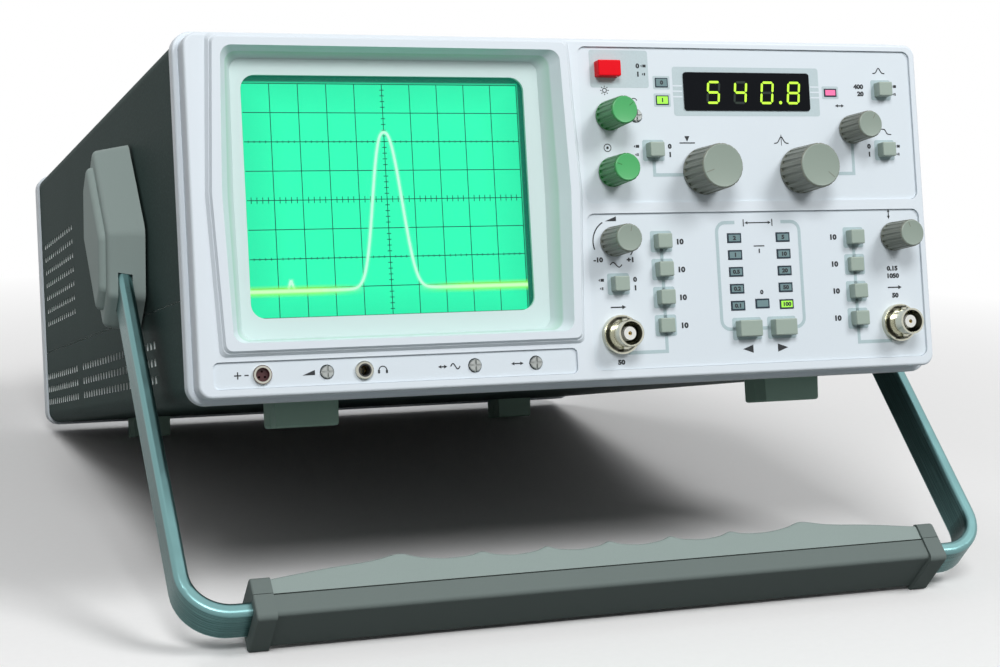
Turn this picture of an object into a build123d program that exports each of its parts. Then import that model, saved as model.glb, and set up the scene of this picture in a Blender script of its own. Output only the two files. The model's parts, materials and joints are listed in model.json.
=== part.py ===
from build123d import *
import os
from math import asin, atan2, cos, degrees, hypot, radians, sin

# Bench spectrum analyzer in a compact sheet-metal case, standing on its tilted carrying handle.
# Every piece is drawn level: x to the right, y from the front face to the back, z up, with x = 0
# in the middle and y = z = 0 on the lower front edge of the face.  STANCE then tips the whole
# instrument back and sets the handle grip and the rear feet on z = 0.  All sizes are millimetres.

# ---------------------------------------------------------------- case and front frame
FACE_W, FACE_H, FACE_D = 281.0, 122.0, 8.6   # front face block
FACE_R, FACE_EDGE = 4.5, 1.1                 # its corner radius and rounded front edge
LIP, LIP_D, LIP_R = 2.0, 5.0, 6.5            # lip behind the face, and its corner radius
WALL = 3.0                                   # moulding wall of the front frame
DEPTH = 376.6                                # front face to the back of the rear frame
REAR_D, REAR_WALL = 10.0, 5.0                # rear frame depth and wall
SPIGOT = 6.0                                 # frame stretch that slips inside the covers
SKIN, INSET = 1.2, 1.0                       # cover sheet, and how far it lies inside the lip
SEAM_Z, SEAM_GAP = 34.0, 0.3                 # joint between upper and lower cover
FIT = 0.2                                    # clearance between pieces that nest
RUN = 0.05                                   # radial clearance of a turning shaft

# ---------------------------------------------------------------- ventilation slots
SLOT_PITCH = 7.0
UPPER_SLOT, UPPER_ROWS, UPPER_COLS = (3.6, 2.3), 7, 14
UPPER_LOW_Z, UPPER_ROW_STEP, UPPER_END_Y = 48.0, 6.4, 357.5
LOWER_SLOT, LOWER_ROWS = (3.6, 2.8), 3
LOWER_LOW_Z, LOWER_ROW_STEP = 9.3, 6.3
LOWER_GROUPS = ((157.5, 26), (314.0, 15))    # middle y of each group, and its slot count

# ---------------------------------------------------------------- screen
BEZEL_X, BEZEL_Z, BEZEL_BULGE = -67.7, 67.7, 2.4
RIM_W, RIM_H, RIM_R, RIM_RISE = 126.8, 104.6, 2.4, 2.4
BEZEL_STEP = 1.9                             # how far the lower step stands outside the rim
WELL_W, WELL_H, WELL_R, WELL_D = 121.5, 99.6, 4.0, 5.6
FLOOR_W, FLOOR_H = 111.0, 95.0
BEZEL_WALL, FLOOR_T = 1.6, 1.2
WINDOW_W, WINDOW_H, WINDOW_R = 102.2, 82.6, 5.0
WINDOW_X, WINDOW_Z = -69.3, 67.6
FILTER_T = 1.5
TUBE_X, TUBE_Z, TUBE_W, TUBE_H = -69.9, 66.5, 112.0, 92.0
TUBE_BULB, TUBE_CONE, TUBE_LENGTH, NECK_R = 22.0, 140.0, 322.0, 25.5
TUBE_R, TUBE_WALL, TUBE_FACE_T = 8.0, 2.5, 5.0
SHIELD_T, SHIELD_AIR = 0.8, 0.8

# ---------------------------------------------------------------- printed panels
POCKET, FOIL_T = 1.2, 0.4                    # pocket depth and foil thickness
PANEL_X = 1.0                                # left edge of the two control panels
PANEL_MARGIN = 2.6                           # panel to the right and upper edge of the face
PANEL_R, STRIP_R = 3.0, 2.0
UPPER_Z, LOWER_Z, LOWER_TOP = 63.1, 3.5, 59.4
STRIP = (-135.5, -5.4, 2.9, 12.0)            # low x, high x, low z, high z of the screen strip
STRIP_ROW = 7.4
FOIL_Y = POCKET - FOIL_T                     # front surface of the foils

COL_A, COL_B, COL_C, COL_D = PANEL_X + 10.3, PANEL_X + 28.9, PANEL_X + 108.1, PANEL_X + 125.2
ROW_TOP, ROW_STEP = 49.0, 10.1               # attenuator buttons
BOARD_Y, BOARD_T = 22.0, 1.6

# ---------------------------------------------------------------- knobs
SMALL_KNOB = dict(base=5.4, front=5.05, length=13.4, flutes=16, flute=0.6)
LARGE_KNOB = dict(base=8.6, front=8.15, length=14.8, flutes=20, flute=0.75)
KNOB_GAP, SHAFT_R, SHAFT_END = 0.5, 3.0, 19.5
KNOBS = {
    "intensity_knob": (COL_A + 1.0, 94.5, SMALL_KNOB),
    "focus_knob": (COL_A + 0.9, 74.2, SMALL_KNOB),
    "level_knob": (COL_A, 49.3, SMALL_KNOB),
    "y_position_knob": (COL_D, 49.0, SMALL_KNOB),
    "fine_tuning_knob": (PANEL_X + 110.3, 89.6, SMALL_KNOB),
    "marker_knob": (PANEL_X + 47.8, 74.3, LARGE_KNOB),
    "center_frequency_knob": (PANEL_X + 87.5, 74.3, LARGE_KNOB),
}

# ---------------------------------------------------------------- push buttons
BUTTON, POWER_BUTTON, ARROW_BUTTON = (5.7, 5.3), (8.8, 5.8), (9.0, 6.0)
BUTTON_OUT, BUTTON_BACK, TRAVEL, LATCHED = 4.0, 6.0, 2.5, 1.6
BUTTON_GAP, STEM, STEM_END, STEM_GAP = 0.3, 3.0, 16.0, 0.3
SWITCH_Y = 12.0
BUTTONS = {
    "power_button": (COL_A + 0.7, 111.2, POWER_BUTTON, 0.0),
    "marker_button": (PANEL_X + 28.0, 82.0, BUTTON, 0.0),
    "bandwidth_button": (PANEL_X + 124.1, 104.6, BUTTON, 0.0),
    "video_filter_button": (PANEL_X + 124.1, 81.8, BUTTON, 0.0),
    "tracking_generator_button": (COL_A + 0.9, 34.1, BUTTON, 0.0),
    "span_down_button": (PANEL_X + 61.5, 16.4, ARROW_BUTTON, 0.0),
    "span_up_button": (PANEL_X + 75.8, 16.4, ARROW_BUTTON, 0.0),
}
for row in range(4):
    height = ROW_TOP - row * ROW_STEP
    BUTTONS[f"output_attenuator_button_{row + 1}"] = (COL_B, height, BUTTON, LATCHED if row == 3 else 0.0)
    BUTTONS[f"input_attenuator_button_{row + 1}"] = (COL_C, height, BUTTON, LATCHED if row == 1 else 0.0)

# ---------------------------------------------------------------- screwdriver trimmers
TRIMMER_R, TRIMMER_OUT, TRIMMER_END = 2.2, 1.0, 14.0
TRIMMER_SLOT, TRIMMER_SLOT_DEEP = 0.7, 0.8
TRIMMER_BOX = (5.0, 7.0)                     # housing of a trimmer on the board
TRIMMERS = {
    "volume_trimmer": (-96.6, STRIP_ROW),
    "x_amplitude_trimmer": (-43.7, STRIP_ROW),
    "x_position_trimmer": (-21.0, STRIP_ROW),
    "trace_rotation_trimmer": (COL_A + 11.6, 94.6),
}

# ---------------------------------------------------------------- display, lamps, sockets
DISPLAY = (PANEL_X + 67.3, 103.6, 51.8, 14.0)
LAMP = (5.6, 3.4)
RANGE_LAMP = (5.0, 3.4)
LAMP_STEP = 6.2
SPAN_X = PANEL_X + 68.4                      # middle of the span lamp block
LAMPS = [(SPAN_X + side * 10.0, 49.7 - row * LAMP_STEP, LAMP) for row in range(5) for side in (-1, 1)]
LAMPS += [(SPAN_X, 25.4, LAMP), (PANEL_X + 102.2, 103.5, (5.2, 3.0))]
LAMPS += [(PANEL_X + 32.7, z, RANGE_LAMP) for z in (106.7, 100.3)]
CONNECTORS = ((COL_A + 0.4, 16.0), (COL_D, 16.4))
BARREL_R, BARREL_OUT, COLLAR_R, COLLAR_T = 4.83, 10.4, 7.0, 2.2
NOSE_L, NOSE_STEP, MOUTH_CHAMFER = 4.4, 0.25, 0.2   # full-size stretch of the barrel, and its step down
LUG_Y, LUG_R, LUG_OUT = 5.7, 1.0, 1.3        # lug distance behind the mouth, radius, height
PROBE_SOCKET, PHONE_JACK = (-118.9, STRIP_ROW), (-83.6, STRIP_ROW)
JACK_NUT_R, JACK_BORE_R, JACK_DEPTH = 3.2, 1.8, 14.0

# ---------------------------------------------------------------- handle
PIVOT_Y, PIVOT_Z = 98.0, 64.0
HANDLE_ANGLE = 37.4                          # arms forward of straight down, level instrument
STRIP_W, STRIP_T, STRIP_EDGE = 15.0, 5.0, 1.7
ARM_GAP = 9.7                                # case lip to the inner face of an arm
REACH, BEND_R, EYE = 174.0, 18.0, 9.0        # pivot to outer face of the cross bar, bend, eye end
PIN_R, COLLAR_PIN_R, PIN_END = 4.0, 7.0, 1.8
GRIP_HALF, GRIP_W, GRIP_OUT, GRIP_EDGE = 122.0, 20.0, 2.8, 1.6
GRIP_END_RISE, GRIP_PEAK, GRIP_WAVE, GRIP_VALLEY = 6.2, 12.0, 10.4, 8.2
GRIP_SEAM, GRIP_ROUND = 0.25, 1.3            # half of the open seam, and the rounding of the waves
WAVES = (23.5, 47.0)                         # inner wave crests, and the outer crests
OUTER_CREST = 75.0
CAP_L, CAP_PROUD, CAP_R, CAP_RISE = 7.0, 1.4, 2.0, 7.0
HUB_HALF_L, HUB_HALF_W = 29.5, 18.4
HUB_CUT = (15.2, 17.5)                       # sloping corner: along the arm, across it
HUB_GAP, HUB_SKIN, HUB_WALL, HUB_EDGE = 1.0, 3.6, 2.4, 2.2
HUB_FLARE, HUB_R = 2.4, 3.5                   # how far its base spreads, and its corner radius
CHANNEL_AIR = 0.15                           # clearance beside the strip in its channel
RIB_T, RIB_HALF_L = 1.6, 22.0                # ribs that hold the strip sideways
PAD_IN, PAD_T, PAD_EDGE = 4.3, 2.5, 2.2

# ---------------------------------------------------------------- feet
FOOT_W, FOOT_L, FOOT_H, FOOT_DRAFT, FOOT_EDGE = 23.0, 17.0, 9.6, 1.5, 1.0
FOOT_X, FRONT_FOOT_Y, REAR_FOOT_INSET = 96.2, 31.0, 27.6
REAR_FOOT_W = 18.0

# ---------------------------------------------------------------- chassis and modules
SHEET, TRAY_AIR, TRAY_TOP_GAP = 1.5, 0.5, 1.5     # tray sheet, and its clearance to the covers
PILLAR_R, DECK_Z, CRADLE_Y = 3.0, 8.0, 205.0     # pillars, board level, tube cradle
CRADLE_HALF, CRADLE_AIR = 20.0, 4.0          # half width of the tube cradle, and the board cut-out round it
MAIN_BOARD = (-124.0, 131.0, 40.0, 245.0)    # low x, high x, low y, high y
SUPPLY_BOARD = (-124.0, 2.0, 258.0)          # low x, high x, low y
PILLARS_X, PILLARS_Y = (-118.0, -10.0, 5.0, 125.0), (50.0, 235.0, 270.0)
BOX_T, BOX_SPLIT = 1.0, 55.0                 # sheet of the screened boxes, and where two of them meet
CAN_R, CAN_H, CANS_X, CANS_Y = 8.0, 20.0, (-110.0, -90.0, -70.0), 280.0
SINK = (-60.0, -10.0, 300.0, 330.0)          # low x, high x, low y, high y of the heat sink
FINS, FIN_PITCH, FIN_T, SINK_T, SINK_H = 8, 7.0, 1.5, 4.0, 22.0
TRANSFORMER_X, TRANSFORMER_Y, TRANSFORMER_EDGE = 66.0, 304.0, 6.0
WASHER_R, WASHER_T, BOLT_R = 22.0, 1.5, 3.0
TRANSFORMER_R, TRANSFORMER_HOLE, TRANSFORMER_H = 38.0, 12.0, 36.0

# Values that follow from the ones above
FRAME_W, FRAME_H = FACE_W + 2 * LIP, FACE_H + 2 * LIP
CASE_W, CASE_H = FRAME_W - 2 * INSET, FRAME_H - 2 * INSET
MID_Z = FACE_H / 2
COVER_Y0, COVER_Y1 = FACE_D + LIP_D, DEPTH - REAR_D
CASE_LOW = MID_Z - CASE_H / 2
CASE_SIDE = CASE_W / 2
ARM_IN = FRAME_W / 2 - LIP + ARM_GAP - 3.0
ARM_OUT = ARM_IN + STRIP_T
REAR_FOOT_Y = DEPTH - REAR_FOOT_INSET - FOOT_L
UPPER_TOP = FACE_H - PANEL_MARGIN
PANEL_RIGHT = FACE_W / 2 - PANEL_MARGIN
FILTER_Y = WELL_D + FLOOR_T
TUBE_Y = FILTER_Y + FILTER_T + 0.1
PAN_TOP = CASE_LOW + SKIN + TRAY_AIR + SHEET
TRAY_TOP = FACE_H - WALL - TRAY_TOP_GAP
RAIL_OUT = CASE_SIDE - SKIN - TRAY_AIR
CHASSIS_END = COVER_Y1 - SPIGOT - 0.6

os.makedirs("parts", exist_ok=True)


# ================================================================ helpers
def block(x0, x1, y0, y1, z0, z1):
    """A box given by its low and high corners."""
    size = (x1 - x0, y1 - y0, z1 - z0)
    return Pos((x0 + x1) / 2, (y0 + y1) / 2, (z0 + z1) / 2) * Box(*size)


def facing(x, y, z):
    """A plane whose normal points to the front, with its own x to the right and y up."""
    return Plane(origin=(x, y, z), x_dir=(1, 0, 0), z_dir=(0, -1, 0))


def slab(sketch, y0, y1, x=0.0, z=0.0):
    """A front-view outline made solid between two depths."""
    return extrude(facing(x, y1, z) * sketch, y1 - y0)


def side_slab(sketch, x0, x1):
    """A side-view outline (y to the right, z up) made solid between two x values."""
    return extrude(Plane(origin=(x0, 0, 0), x_dir=(0, 1, 0), z_dir=(1, 0, 0)) * sketch, x1 - x0)


def rod(x, z, radius, y0, y1):
    """A round bar that runs from front to back."""
    return slab(Circle(radius), y0, y1, x, z)


def frame_block(width, height, radius, y0, y1):
    """A rounded-rectangle prism centred on the face."""
    return slab(RectangleRounded(width, height, radius), y0, y1, 0, MID_Z)


def mirrored(shape):
    """The same piece on the other side of the instrument."""
    return mirror(shape, about=Plane.YZ)


def front_edges(shape):
    """The edges of the frontmost face."""
    return shape.faces().sort_by(Axis.Y)[0].edges()


# ================================================================ stance
def along_arm(distance, across):
    """Level position (y, z) at a distance from the pivot down the arm and across it to the front."""
    a = radians(HANDLE_ANGLE)
    y = PIVOT_Y - distance * sin(a) - across * cos(a)
    z = PIVOT_Z - distance * cos(a) + across * sin(a)
    return y, z


CAP_LOW = REACH + GRIP_OUT + CAP_PROUD       # pivot to the underside of the grip end caps
CAP_HALF = GRIP_W / 2 + 0.8
FOOT_BACK = REAR_FOOT_Y + FOOT_L


def stance():
    """Tip back until the rounded grip caps and the rear foot edges touch one floor."""
    cap_y, cap_z = along_arm(CAP_LOW - CAP_R, CAP_R - CAP_HALF)
    foot_y, foot_z = FOOT_BACK - FOOT_EDGE, CASE_LOW - FOOT_H + FOOT_EDGE
    dy, dz = foot_y - cap_y, foot_z - cap_z
    tilt = atan2(dz, dy) + asin((CAP_R - FOOT_EDGE) / hypot(dy, dz))
    floor = foot_y * -sin(tilt) + foot_z * cos(tilt) - FOOT_EDGE
    return degrees(tilt), -floor


TILT, LIFT = stance()
TIPPED = Location((0, 0, LIFT), (-TILT, 0, 0))
HANDLE = Location((0, PIVOT_Y, PIVOT_Z), (-HANDLE_ANGLE, 0, 0))


def middle_shift(shapes):
    """How far back the tipped instrument must move to stand centred on y = 0."""
    boxes = [shape.moved(TIPPED).bounding_box() for shape in shapes]
    return -(min(b.min.Y for b in boxes) + max(b.max.Y for b in boxes)) / 2


NODES = {}


def keep(name, *solids):
    """Remember a node as a list of its separate solids."""
    NODES[name] = [piece for solid in solids for piece in solid.solids()]


# ================================================================ front frame, foils, bezel
def panel_rectangles():
    """Low x, high x, low z, high z and corner radius of each printed panel."""
    upper = (PANEL_X, PANEL_RIGHT, UPPER_Z, UPPER_TOP, PANEL_R)
    lower = (PANEL_X, PANEL_RIGHT, LOWER_Z, LOWER_TOP, PANEL_R)
    return [upper, lower, (*STRIP, STRIP_R)]


def panel_slab(rectangle, y0, y1, shrink=0.0):
    x0, x1, z0, z1, radius = rectangle
    outline = RectangleRounded(x1 - x0 - 2 * shrink, z1 - z0 - 2 * shrink, radius - shrink)
    return slab(outline, y0, y1, (x0 + x1) / 2, (z0 + z1) / 2)


def control_holes(y0, y1):
    """Everything that passes through the foils and the front wall, with its clearance."""
    holes = []
    for x, z, _ in KNOBS.values():
        holes.append(rod(x, z, SHAFT_R + 0.6, y0, y1))
    for x, z, (w, h), _ in BUTTONS.values():
        holes.append(slab(RectangleRounded(w + 2 * BUTTON_GAP, h + 2 * BUTTON_GAP, 0.6), y0, y1, x, z))
    for x, z in TRIMMERS.values():
        holes.append(rod(x, z, TRIMMER_R + 0.3, y0, y1))
    for x, z, (w, h) in LAMPS:
        holes.append(slab(Rectangle(w + FIT, h + FIT), y0, y1, x, z))
    for x, z in CONNECTORS:
        holes.append(rod(x, z, BARREL_R + 0.3, y0, y1))
    for x, z in (PROBE_SOCKET, PHONE_JACK):
        holes.append(rod(x, z, JACK_NUT_R - 0.6, y0, y1))
    x, z, w, h = DISPLAY
    holes.append(slab(RectangleRounded(w + FIT, h + FIT, 1.2), y0, y1, x, z))
    return holes


def hexagon(width, height, bulge, radius):
    """A rectangle whose two upright sides are bent outward at mid-height, with rounded corners."""
    x, z = width / 2, height / 2
    points = [(-x, z), (x, z), (x + bulge, 0), (x, -z), (-x, -z), (-x - bulge, 0)]
    outline = make_face(Polyline(*points, close=True))
    corners = outline.vertices().filter_by(lambda v: abs(abs(v.Y) - z) < 1e-6)
    outline = fillet(corners, radius)
    waist = outline.vertices().filter_by(lambda v: abs(v.Y) < 1e-6)
    return fillet(waist, 12 * radius)


def bezel_body(clearance=0.0):
    """The part of the bezel that passes through the front wall."""
    w = WELL_W + 2 * (BEZEL_WALL + clearance)
    h = WELL_H + 2 * (1.2 + clearance)
    return slab(hexagon(w, h, BEZEL_BULGE * 0.7, WELL_R + 1), 0, FILTER_Y, BEZEL_X, BEZEL_Z)


def front_frame():
    face = frame_block(FACE_W, FACE_H, FACE_R, 0, FACE_D + LIP_D)
    face = fillet(front_edges(face), FACE_EDGE)
    lip = frame_block(FRAME_W, FRAME_H, LIP_R, FACE_D, FACE_D + LIP_D)
    lip = fillet(front_edges(lip), 0.9)
    nest = SKIN + INSET + FIT
    spigot = frame_block(FRAME_W - 2 * nest, FRAME_H - 2 * nest, LIP_R - nest, FACE_D, COVER_Y0 + SPIGOT)
    hollow = frame_block(FACE_W - 2 * WALL, FACE_H - 2 * WALL, 2.0, WALL, COVER_Y0 + SPIGOT + 1)
    frame = face + lip + spigot - hollow
    for rectangle in panel_rectangles():
        frame -= panel_slab(rectangle, -1, POCKET)
    frame -= bezel_body(FIT)
    frame -= control_holes(-1, WALL + 1)
    return frame


def panel_foils():
    foils = [panel_slab(r, FOIL_Y, POCKET, 0.1) for r in panel_rectangles()]
    holes = control_holes(-1, WALL + 1)
    return [foil - holes for foil in foils]


def screen_bezel():
    def layer(inset0, inset1, y0, y1):
        outer = hexagon(RIM_W - 2 * inset0, RIM_H - 2 * inset0, BEZEL_BULGE, RIM_R)
        inner = hexagon(RIM_W - 2 * inset1, RIM_H - 2 * inset1, BEZEL_BULGE, RIM_R)
        return loft([facing(BEZEL_X, y0, BEZEL_Z) * outer, facing(BEZEL_X, y1, BEZEL_Z) * inner])

    low_step = layer(-BEZEL_STEP, -BEZEL_STEP + 1.0, 0, -RIM_RISE / 2)
    high_step = layer(-0.7, 0.0, -RIM_RISE / 2, -RIM_RISE)
    mouth = hexagon(WELL_W, WELL_H, BEZEL_BULGE * 0.7, WELL_R)
    floor = hexagon(FLOOR_W, FLOOR_H, BEZEL_BULGE * 0.3, WELL_R)
    well = loft([facing(BEZEL_X, -RIM_RISE - 0.01, BEZEL_Z) * mouth,
                 facing(BEZEL_X - 0.6, WELL_D, BEZEL_Z - 0.7) * floor])
    window = RectangleRounded(WINDOW_W, WINDOW_H, WINDOW_R)
    bezel = low_step + high_step + bezel_body() - well
    return bezel - slab(window, WELL_D - 1, FILTER_Y + 1, WINDOW_X, WINDOW_Z)


def contrast_filter():
    plate = RectangleRounded(WINDOW_W + 6, WINDOW_H + 6, WINDOW_R)
    return slab(plate, FILTER_Y, FILTER_Y + FILTER_T, WINDOW_X, WINDOW_Z)


# ================================================================ picture tube
def tube_solid(grow, y0, y1):
    """The bulb, cone and neck, made larger all round by grow, between two depths."""
    bulb_end = TUBE_Y + TUBE_BULB
    cone_end = bulb_end + TUBE_CONE
    face = RectangleRounded(TUBE_W + 2 * grow, TUBE_H + 2 * grow, TUBE_R + grow)
    neck = RectangleRounded(2 * (NECK_R + grow), 2 * (NECK_R + grow), 0.96 * (NECK_R + grow))
    solid = loft([facing(TUBE_X, bulb_end, TUBE_Z) * face, facing(TUBE_X, cone_end, TUBE_Z) * neck])
    if y0 < bulb_end:
        solid += slab(face, y0, bulb_end, TUBE_X, TUBE_Z)
    else:
        solid -= block(-400, 400, 0, y0, -400, 400)
    return solid + slab(neck, cone_end, y1, TUBE_X, TUBE_Z)


def picture_tube():
    """The glass envelope, closed at the face and open at the back, where the socket closes it."""
    back = TUBE_Y + TUBE_LENGTH
    return tube_solid(0.0, TUBE_Y, back) - tube_solid(-TUBE_WALL, TUBE_Y + TUBE_FACE_T, back + 1)


def tube_shield():
    y0, y1 = TUBE_Y + TUBE_BULB + 8, TUBE_Y + TUBE_LENGTH - 12
    outer = tube_solid(SHIELD_AIR + SHIELD_T, y0, y1)
    return outer - tube_solid(SHIELD_AIR, y0, y1)


def tube_socket():
    y0 = TUBE_Y + TUBE_LENGTH
    return rod(TUBE_X, TUBE_Z, NECK_R - 3, y0, y0 + 9) - rod(TUBE_X, TUBE_Z, 5, y0 + 4, y0 + 10)


# ================================================================ controls
def knob(x, z, style):
    """A fluted knob and its spindle, as two separate solids."""
    base, front, length = style["base"], style["front"], style["length"]
    back_y = FOIL_Y - KNOB_GAP
    body = Cone(base, front, length, align=(Align.CENTER, Align.CENTER, Align.MIN))
    body = fillet(body.edges().group_by(Axis.Z)[-1], 0.7)
    flute_axis = (base + front) / 2 + style["flute"] * 0.35
    groove = Cylinder(style["flute"], length * 0.94, align=(Align.CENTER, Align.CENTER, Align.MIN))
    body -= PolarLocations(flute_axis, style["flutes"]) * (Pos(0, 0, 0.8) * groove)
    body -= Pos(0, 0, length - 0.5) * (Cylinder(front - 0.9, 2) - Cylinder(front - 1.2, 2))
    body -= Cylinder(SHAFT_R, 2 * (length - 3.0))
    spindle = rod(x, z, SHAFT_R, back_y - length + 3.0, SHAFT_END)
    return facing(x, back_y, z).location * body, spindle


def button(x, z, size, pressed):
    """A button cap with the stem that runs back into its switch."""
    front = FOIL_Y - BUTTON_OUT + pressed
    cap = slab(RectangleRounded(*size, 0.5), front, BUTTON_BACK + pressed, x, z)
    cap = fillet(front_edges(cap), 0.45)
    stem = slab(Rectangle(STEM, STEM), BUTTON_BACK + pressed - 1, STEM_END + pressed, x, z)
    return cap + stem


def switch_bodies():
    """Switch housings on the control board, each with the bore its stem slides in."""
    bodies = []
    for x, z, (w, h), _ in BUTTONS.values():
        housing = slab(Rectangle(w + 1.2, h + 1.8), SWITCH_Y, BOARD_Y, x, z)
        bore = Rectangle(STEM + 2 * STEM_GAP, STEM + 2 * STEM_GAP)
        bodies.append(housing - slab(bore, SWITCH_Y - 1, STEM_END + TRAVEL + STEM_GAP, x, z))
    return bodies


def potentiometer_bodies():
    """Threaded bush and can of each rotary control, and the small trimmer housings."""
    bodies = []
    for x, z, style in KNOBS.values():
        can_r = 7.5 if style is SMALL_KNOB else 9.0
        can = rod(x, z, 4.6, WALL + 0.4, 13) + rod(x, z, can_r, 12.9, BOARD_Y)
        bodies.append(can - rod(x, z, SHAFT_R + RUN, WALL, BOARD_Y - 1.2))
    for x, z in TRIMMERS.values():
        housing = slab(Rectangle(*TRIMMER_BOX), 9.0, BOARD_Y, x, z)
        bodies.append(housing - rod(x, z, TRIMMER_R - 0.7 + RUN, 8, BOARD_Y - 1.2))
    return bodies


def trimmer(x, z):
    """An adjusting spindle with a cross slot."""
    front = FOIL_Y - TRIMMER_OUT
    head = rod(x, z, TRIMMER_R, front, 6.5) + rod(x, z, TRIMMER_R - 0.7, 6, TRIMMER_END)
    head = chamfer(front_edges(head), 0.3)
    long, half = TRIMMER_R + 1, TRIMMER_SLOT / 2
    head -= block(x - long, x + long, front - 1, front + TRIMMER_SLOT_DEEP, z - half, z + half)
    return head - block(x - half, x + half, front - 1, front + TRIMMER_SLOT_DEEP, z - long, z + long)


def connector(x, z):
    """A bayonet panel connector: collar, barrel with two lugs, insulator and centre contact."""
    mouth = FOIL_Y - BARREL_OUT
    shell = rod(x, z, BARREL_R, mouth, mouth + NOSE_L) + rod(x, z, BARREL_R - NOSE_STEP, mouth, BOARD_Y)
    shell += rod(x, z, COLLAR_R, FOIL_Y - COLLAR_T, FOIL_Y)
    shell += rod(x, z, BARREL_R + 0.9, FOIL_Y - COLLAR_T - 1.2, FOIL_Y)
    lug = Cylinder(LUG_R, 2 * (BARREL_R + LUG_OUT))
    shell += Pos(x, mouth + LUG_Y, z) * lug
    shell = shell - rod(x, z, BARREL_R - 0.75, mouth - 1, FOIL_Y + 4)
    shell = chamfer(front_edges(shell), MOUTH_CHAMFER)
    insulator = rod(x, z, 2.5, mouth + 1.6, FOIL_Y + 4) - rod(x, z, 0.7, mouth, FOIL_Y)
    contact = rod(x, z, 0.68, mouth + 2.0, FOIL_Y - 0.01) - rod(x, z, 0.4, mouth + 1, FOIL_Y - 3)
    return shell, insulator, contact


def probe_socket():
    x, z = PROBE_SOCKET
    ring = rod(x, z, JACK_NUT_R, FOIL_Y - 1.0, FOIL_Y) + rod(x, z, JACK_NUT_R - 0.7, FOIL_Y, BOARD_Y)
    ring -= rod(x, z, JACK_NUT_R - 1.0, FOIL_Y - 2, 12)
    insert = rod(x, z, JACK_NUT_R - 1.0, FOIL_Y + 0.4, 12)
    for dx, dz in ((-1.0, -0.8), (1.0, -0.8), (0.0, 1.1)):
        insert -= rod(x + dx, z + dz, 0.4, FOIL_Y - 1, 6)
    return ring, insert


def phone_jack():
    x, z = PHONE_JACK
    jack = rod(x, z, JACK_NUT_R, FOIL_Y - 1.2, FOIL_Y) + rod(x, z, JACK_NUT_R - 0.7, FOIL_Y, 6)
    jack = chamfer(front_edges(jack), 0.3)
    jack += slab(Rectangle(8, 2 * (z - WALL) - 2 * FIT), 6, BOARD_Y, x, z)
    return jack - rod(x, z, JACK_BORE_R, FOIL_Y - 3, FOIL_Y - 1.2 + JACK_DEPTH)


def display_window():
    x, z, w, h = DISPLAY
    return slab(RectangleRounded(w, h, 1.1), FOIL_Y - 0.5, WALL + 0.5, x, z)


def display_module():
    x, z, w, h = DISPLAY
    return slab(Rectangle(w - 1, h + 1.5), WALL + 0.6, BOARD_Y, x, z)


def lamp_bars():
    """Light bars that stand on the control board and end just proud of the foil."""
    return [slab(Rectangle(w, h), FOIL_Y - 0.25, BOARD_Y, x, z) for x, z, (w, h) in LAMPS]


def control_boards():
    y0, y1 = BOARD_Y, BOARD_Y + BOARD_T
    main = block(PANEL_X + 0.5, RAIL_OUT - SHEET - 1, y0, y1, PAN_TOP + 1, FACE_H - WALL - 1)
    for x, z in CONNECTORS:
        main -= rod(x, z, BARREL_R + 0.3, y0 - 1, y1 + 1)
    strip = block(STRIP[0] + 4, STRIP[1] - 1, y0, y1, PAN_TOP + 1, STRIP[3] + 4)
    return main, strip


# ================================================================ covers, rear, feet
def cover_shell(y0, y1):
    outer = frame_block(CASE_W, CASE_H, LIP_R - INSET, y0, y1)
    inner = frame_block(CASE_W - 2 * SKIN, CASE_H - 2 * SKIN, LIP_R - INSET - SKIN, y0 - 1, y1 + 1)
    return outer - inner


def slot_rows(size, middle_y, count, low_z, rows, step):
    """Rows of small rectangular slots through both sides of the case."""
    centres = [(middle_y + (i - (count - 1) / 2) * SLOT_PITCH, low_z + row * step)
               for row in range(rows) for i in range(count)]
    outline = Sketch() + [Pos(y, z) * Rectangle(*size) for y, z in centres]
    depth = CASE_SIDE + 1
    return [side_slab(outline, -depth, -depth + SKIN + 3), side_slab(outline, depth - SKIN - 3, depth)]


def cover_y_range():
    return COVER_Y0 + FIT, COVER_Y1 - FIT


def pivot_holes():
    return side_slab(Pos(PIVOT_Y, PIVOT_Z) * Circle(COLLAR_PIN_R + 0.3), -200, 200)


def upper_cover():
    y0, y1 = cover_y_range()
    middle = UPPER_END_Y - SLOT_PITCH * UPPER_COLS / 2
    cover = cover_shell(y0, y1) & block(-300, 300, 0, DEPTH, SEAM_Z + SEAM_GAP / 2, 300)
    cover -= pivot_holes()
    for cut in slot_rows(UPPER_SLOT, middle, UPPER_COLS, UPPER_LOW_Z, UPPER_ROWS, UPPER_ROW_STEP):
        cover -= cut
    return cover


def lower_cover():
    y0, y1 = cover_y_range()
    cover = cover_shell(y0, y1) & block(-300, 300, 0, DEPTH, -50, SEAM_Z - SEAM_GAP / 2)
    for middle, count in LOWER_GROUPS:
        for cut in slot_rows(LOWER_SLOT, middle, count, LOWER_LOW_Z, LOWER_ROWS, LOWER_ROW_STEP):
            cover -= cut
    return cover


SCREW_R, SCREW_HEAD_R, SCREW_SINK, SCREW_L = 1.5, 2.7, 2.0, 12.0


def screw_places():
    x, z = FRAME_W / 2 - REAR_WALL, FRAME_H / 2 - REAR_WALL
    return [(sx * x, MID_Z + sz * z) for sx in (-1, 1) for sz in (-1, 1)]


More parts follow.
